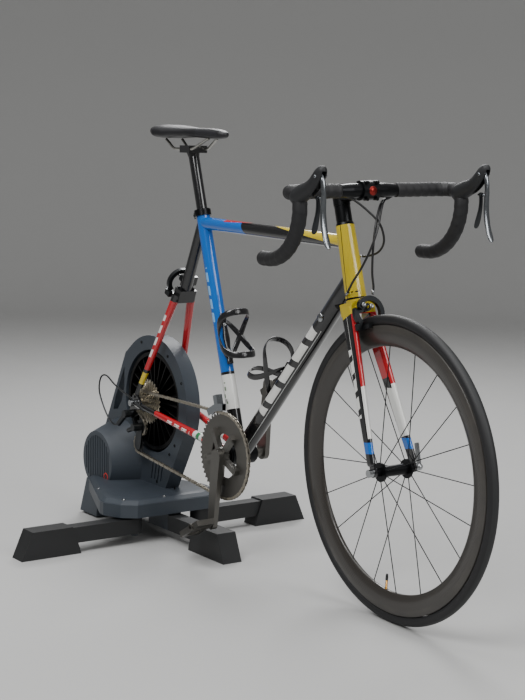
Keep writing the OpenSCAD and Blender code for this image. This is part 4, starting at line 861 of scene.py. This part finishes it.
# control housings
routes = {
    "rear_brake": [[880, -80, 924], [880, -62, 915], [883, -40, 907], [894, -14, 886], [905, 12, 858],
                   [903, 27, 822], [880, 33, 796], [848, 29, 784], [824, 24, 782]],
    "shift": [[880, 80, 924], [880, 62, 915], [883, 42, 907], [898, 22, 890], [915, 0, 852],
              [915, -16, 810], [899, -28, 766], [873, -33, 730], [846, -28, 700]],
    "front_brake": [[877, 78, 922], [877, 58, 911], [880, 38, 905], [895, 16, 884], [908, -2, 848],
                    [912, -10, 800], [904, -4, 752], [897, 6, 722], [893, 8, 706]]}
for word, route in routes.items():
    line = smoothPath(route, 12)
    wire = tube("housing_" + word, line, 2.5, housingSkin, 14)
    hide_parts("cable_housings")
    if word == "front_brake":
        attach(wire, "steering")
    else:
        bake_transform(wire)
    for end, inward in ((line[-1], line[-2]),):
        axis = end - inward
        ferrule = spin("ferrule_" + word, end, axis, [(0.01, 1), (3.2, 1), (3.2, -8), (2.4, -8)], polishedSteel, 20)
        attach(ferrule, "steering" if word == "front_brake" else "stand")
print("housings done")

# base cover
# a chamfered lid over the base: the plan shrinks towards its middle as it rises
basePlan = np.array([(-205, -95), (60, -205), (84, -208), (133, -185), (160, -150),
                     (160, 68), (133, 103), (84, 126), (60, 123), (-205, 35)], float)
coverRings = [(0.985, 104.0), (0.985, 106.0), (0.90, 114.5), (0.82, 116.5), (0.55, 117.5)]
middle = np.array([10.0, -41.0])
points, faces = [], []
for scale, z in coverRings:
    for x, y in basePlan:
        flat = middle + (np.array([x, y]) - middle) * scale
        points.append((flat[0], flat[1], z))
n = len(basePlan)
faces = gridFaces(len(coverRings), n)
faces += [tuple(range(n - 1, -1, -1)), tuple((len(coverRings) - 1) * n + k for k in range(n))]
cover = makeObject("base_cover", toRow(points), faces, mouldedGrey, False)
rounding = cover.modifiers.new("edge rounding", "BEVEL")
rounding.width, rounding.segments, rounding.limit_method = 0.0025, 3, "ANGLE"
rounding.angle_limit = math.radians(12)
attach(cover, "stand")
for n, spot in enumerate(((-40, -152, 108.5), (120, -168, 112), (140, -60, 113), (96, 92, 112))):
    screw = spin("base_screw_%d" % n, np.array(spot, float), [0, 0, 1],
                 [(0.01, 3.4), (2.2, 3.4), (2.4, 4.4), (4.4, 4.2), (5, 3.4), (5, 0)], polishedSteel, 20)
    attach(screw, "stand")

# trainer details
badgeRed = plainMaterial("printed red ring badge", "#B3241C", 0.4, fine=0.001)

badge = np.array([-112.0, -92.0, 122.0])
ringProfile = [(7.5, 0), (7.5, 0.8), (11.5, 0.8), (11.5, 0)]
piece = spin("badge_ring", badge + [0, 0.2, 0], [0, -1, 0], ringProfile, badgeRed, 40, False, True)
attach(piece, "stand")
screwAt = [(92, -16, 212), (118, -16, 240), (30, -16, 128), (120, -16, 128), (-55, -16, 492),
           (80, -16, 470), (148, -16, 408)]
for i, spot in enumerate(screwAt):
    piece = spin("housing_screw_%d" % i, np.array(spot, float), [0, -1, 0],
                 [(0.01, 0.4), (2.4, 0.4), (2.6, 1.0), (3.8, 1.0), (4.2, 0.3), (4.2, -0.5)], anodisedBlack, 20)
    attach(piece, "stand")
# round barrel adjuster on the right of the down tube
spot = crankCentre + down * 508 + np.array([0, -21.5, 0])
piece = spin("down_tube_adjuster", spot, [0, -1, 0],
             [(0.01, 4.2), (4, 4.2), (5, 3.2), (8.5, 3.0), (9.5, 2), (9.5, -3), (0.01, -3)], polishedSteel, 28)
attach(piece, "stand")
# caliper bolt heads, front (turned with the fork) and rear, which is square to the seat stays
stayLean = math.radians(24.4)
stayBack = np.array([-math.cos(stayLean), 0, math.sin(stayLean)])
stayUp = np.array([math.sin(stayLean), 0, math.cos(stayLean)])
rearBolts = [np.array([0, 0, 340.4]) + stayBack * 36.6 + stayUp * t + np.array([0, y, 0])
             for y, t in ((0, 357), (20, 361))]
for word, spots, axis, moved, body in (
        ("front", [steerPoint(50.6, 0, 357), steerPoint(50.6, -20, 361)], steerAhead, True, "steering"),
        ("rear", rearBolts, stayBack, False, "stand")):
    for n, at in enumerate(spots):
        head = spin("caliper_bolt_%s_%d" % (word, n), at, axis,
                    [(0.01, 1.5), (2.2, 1.5), (2.4, 3.6), (4.6, 3.4), (5.2, 2.4), (5.2, -1.2)],
                    polishedSteel, 24, moved)
        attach(head, body)
# stem faceplate disc with a red centre
faceCentre = barCentre + np.array([21.0, 0, 0])
piece = spin("faceplate_disc", faceCentre, [1, 0, 0], [(0.01, 1.4), (7.0, 1.4), (7.2, 1.0), (9.5, 1.0), (10.0, 0), (10, -3)],
             plainMaterial("red anodised faceplate cap", "#8E2A26", 0.32, metal=0.8), 36, True)
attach(piece, "steering")
print("details done")

# floor, light and camera
# seamless grey studio: a flat floor that curves up into a round wall
studio = {"flat": 5.6, "curve": 1.8, "height": 6.5}
yaw, pitch, roll = math.radians(145.232), math.radians(-7.706), math.radians(0.906)
profile = [(0.02, 0.0), (1.5, 0.0), (3.5, 0.0), (studio["flat"], 0.0)]
profile += [(studio["flat"] + studio["curve"] * math.sin(t), studio["curve"] * (1 - math.cos(t)))
            for t in np.linspace(0.1, math.pi / 2, 14)]
profile.append((studio["flat"] + studio["curve"], studio["height"]))
turns = np.arange(96) * 2 * math.pi / 96
points = [(r * math.cos(t), r * math.sin(t), z) for r, z in profile for t in turns]
faces = gridFaces(len(profile), 96)
faces.append(tuple(range(95, -1, -1)))
paper = plainMaterial("seamless grey paper", "#ADADAC", 0.85, fine=0.002, bumpHeight=0.00002, spread=0.01)
floor = makeObject("studio_floor", points, faces, paper)
lights = [("key", (1.2, -2.6, 3.4), 2.2, 120), ("fill", (3.4, 0.6, 2.4), 2.0, 55), ("rim light", (-2.2, 1.8, 2.8), 1.4, 75),
          ("top", (0, 0, 3.8), 2.6, 70)]
for name, at, size, power in lights:
    lamp = bpy.data.lights.new(name, "AREA")
    lamp.shape, lamp.size, lamp.energy = "DISK", size, power
    holder = bpy.data.objects.new(name, lamp)
    holder.location = at
    away = np.array(at) - np.array([0, 0, 0.5])
    away /= np.linalg.norm(away)
    holder.rotation_euler = (math.acos(away[2]), 0, math.atan2(away[1], away[0]) + math.pi / 2)
    bpy.context.scene.collection.objects.link(holder)
world = bpy.data.worlds.new("studio")
world.use_nodes = True
world.node_tree.nodes["Background"].inputs[0].default_value = linear("#A0A0A0")
world.node_tree.nodes["Background"].inputs[1].default_value = 1.3
bpy.context.scene.world = world


forward = np.array([math.cos(yaw) * math.cos(pitch), math.sin(yaw) * math.cos(pitch), math.sin(pitch)])
right = np.cross(forward, [0, 0, 1.0])
right /= np.linalg.norm(right)
upward = np.cross(right, forward)
tiltedRight = right * math.cos(roll) + upward * math.sin(roll)
tiltedUp = -right * math.sin(roll) + upward * math.cos(roll)
lens = bpy.data.cameras.new("camera")
lens.sensor_fit = "VERTICAL"
lens.sensor_height = 36
lens.lens = 80.16
camera = bpy.data.objects.new("camera", lens)
spot = toRow([3518.8, -2103.3, 1034.0])
turnMatrix = mathutils.Matrix([[tiltedRight[i], tiltedUp[i], -forward[i], spot[i]] for i in range(3)] + [[0, 0, 0, 1]])
camera.matrix_world = turnMatrix
bpy.context.scene.collection.objects.link(camera)
bpy.context.scene.camera = camera

print("scene ready")
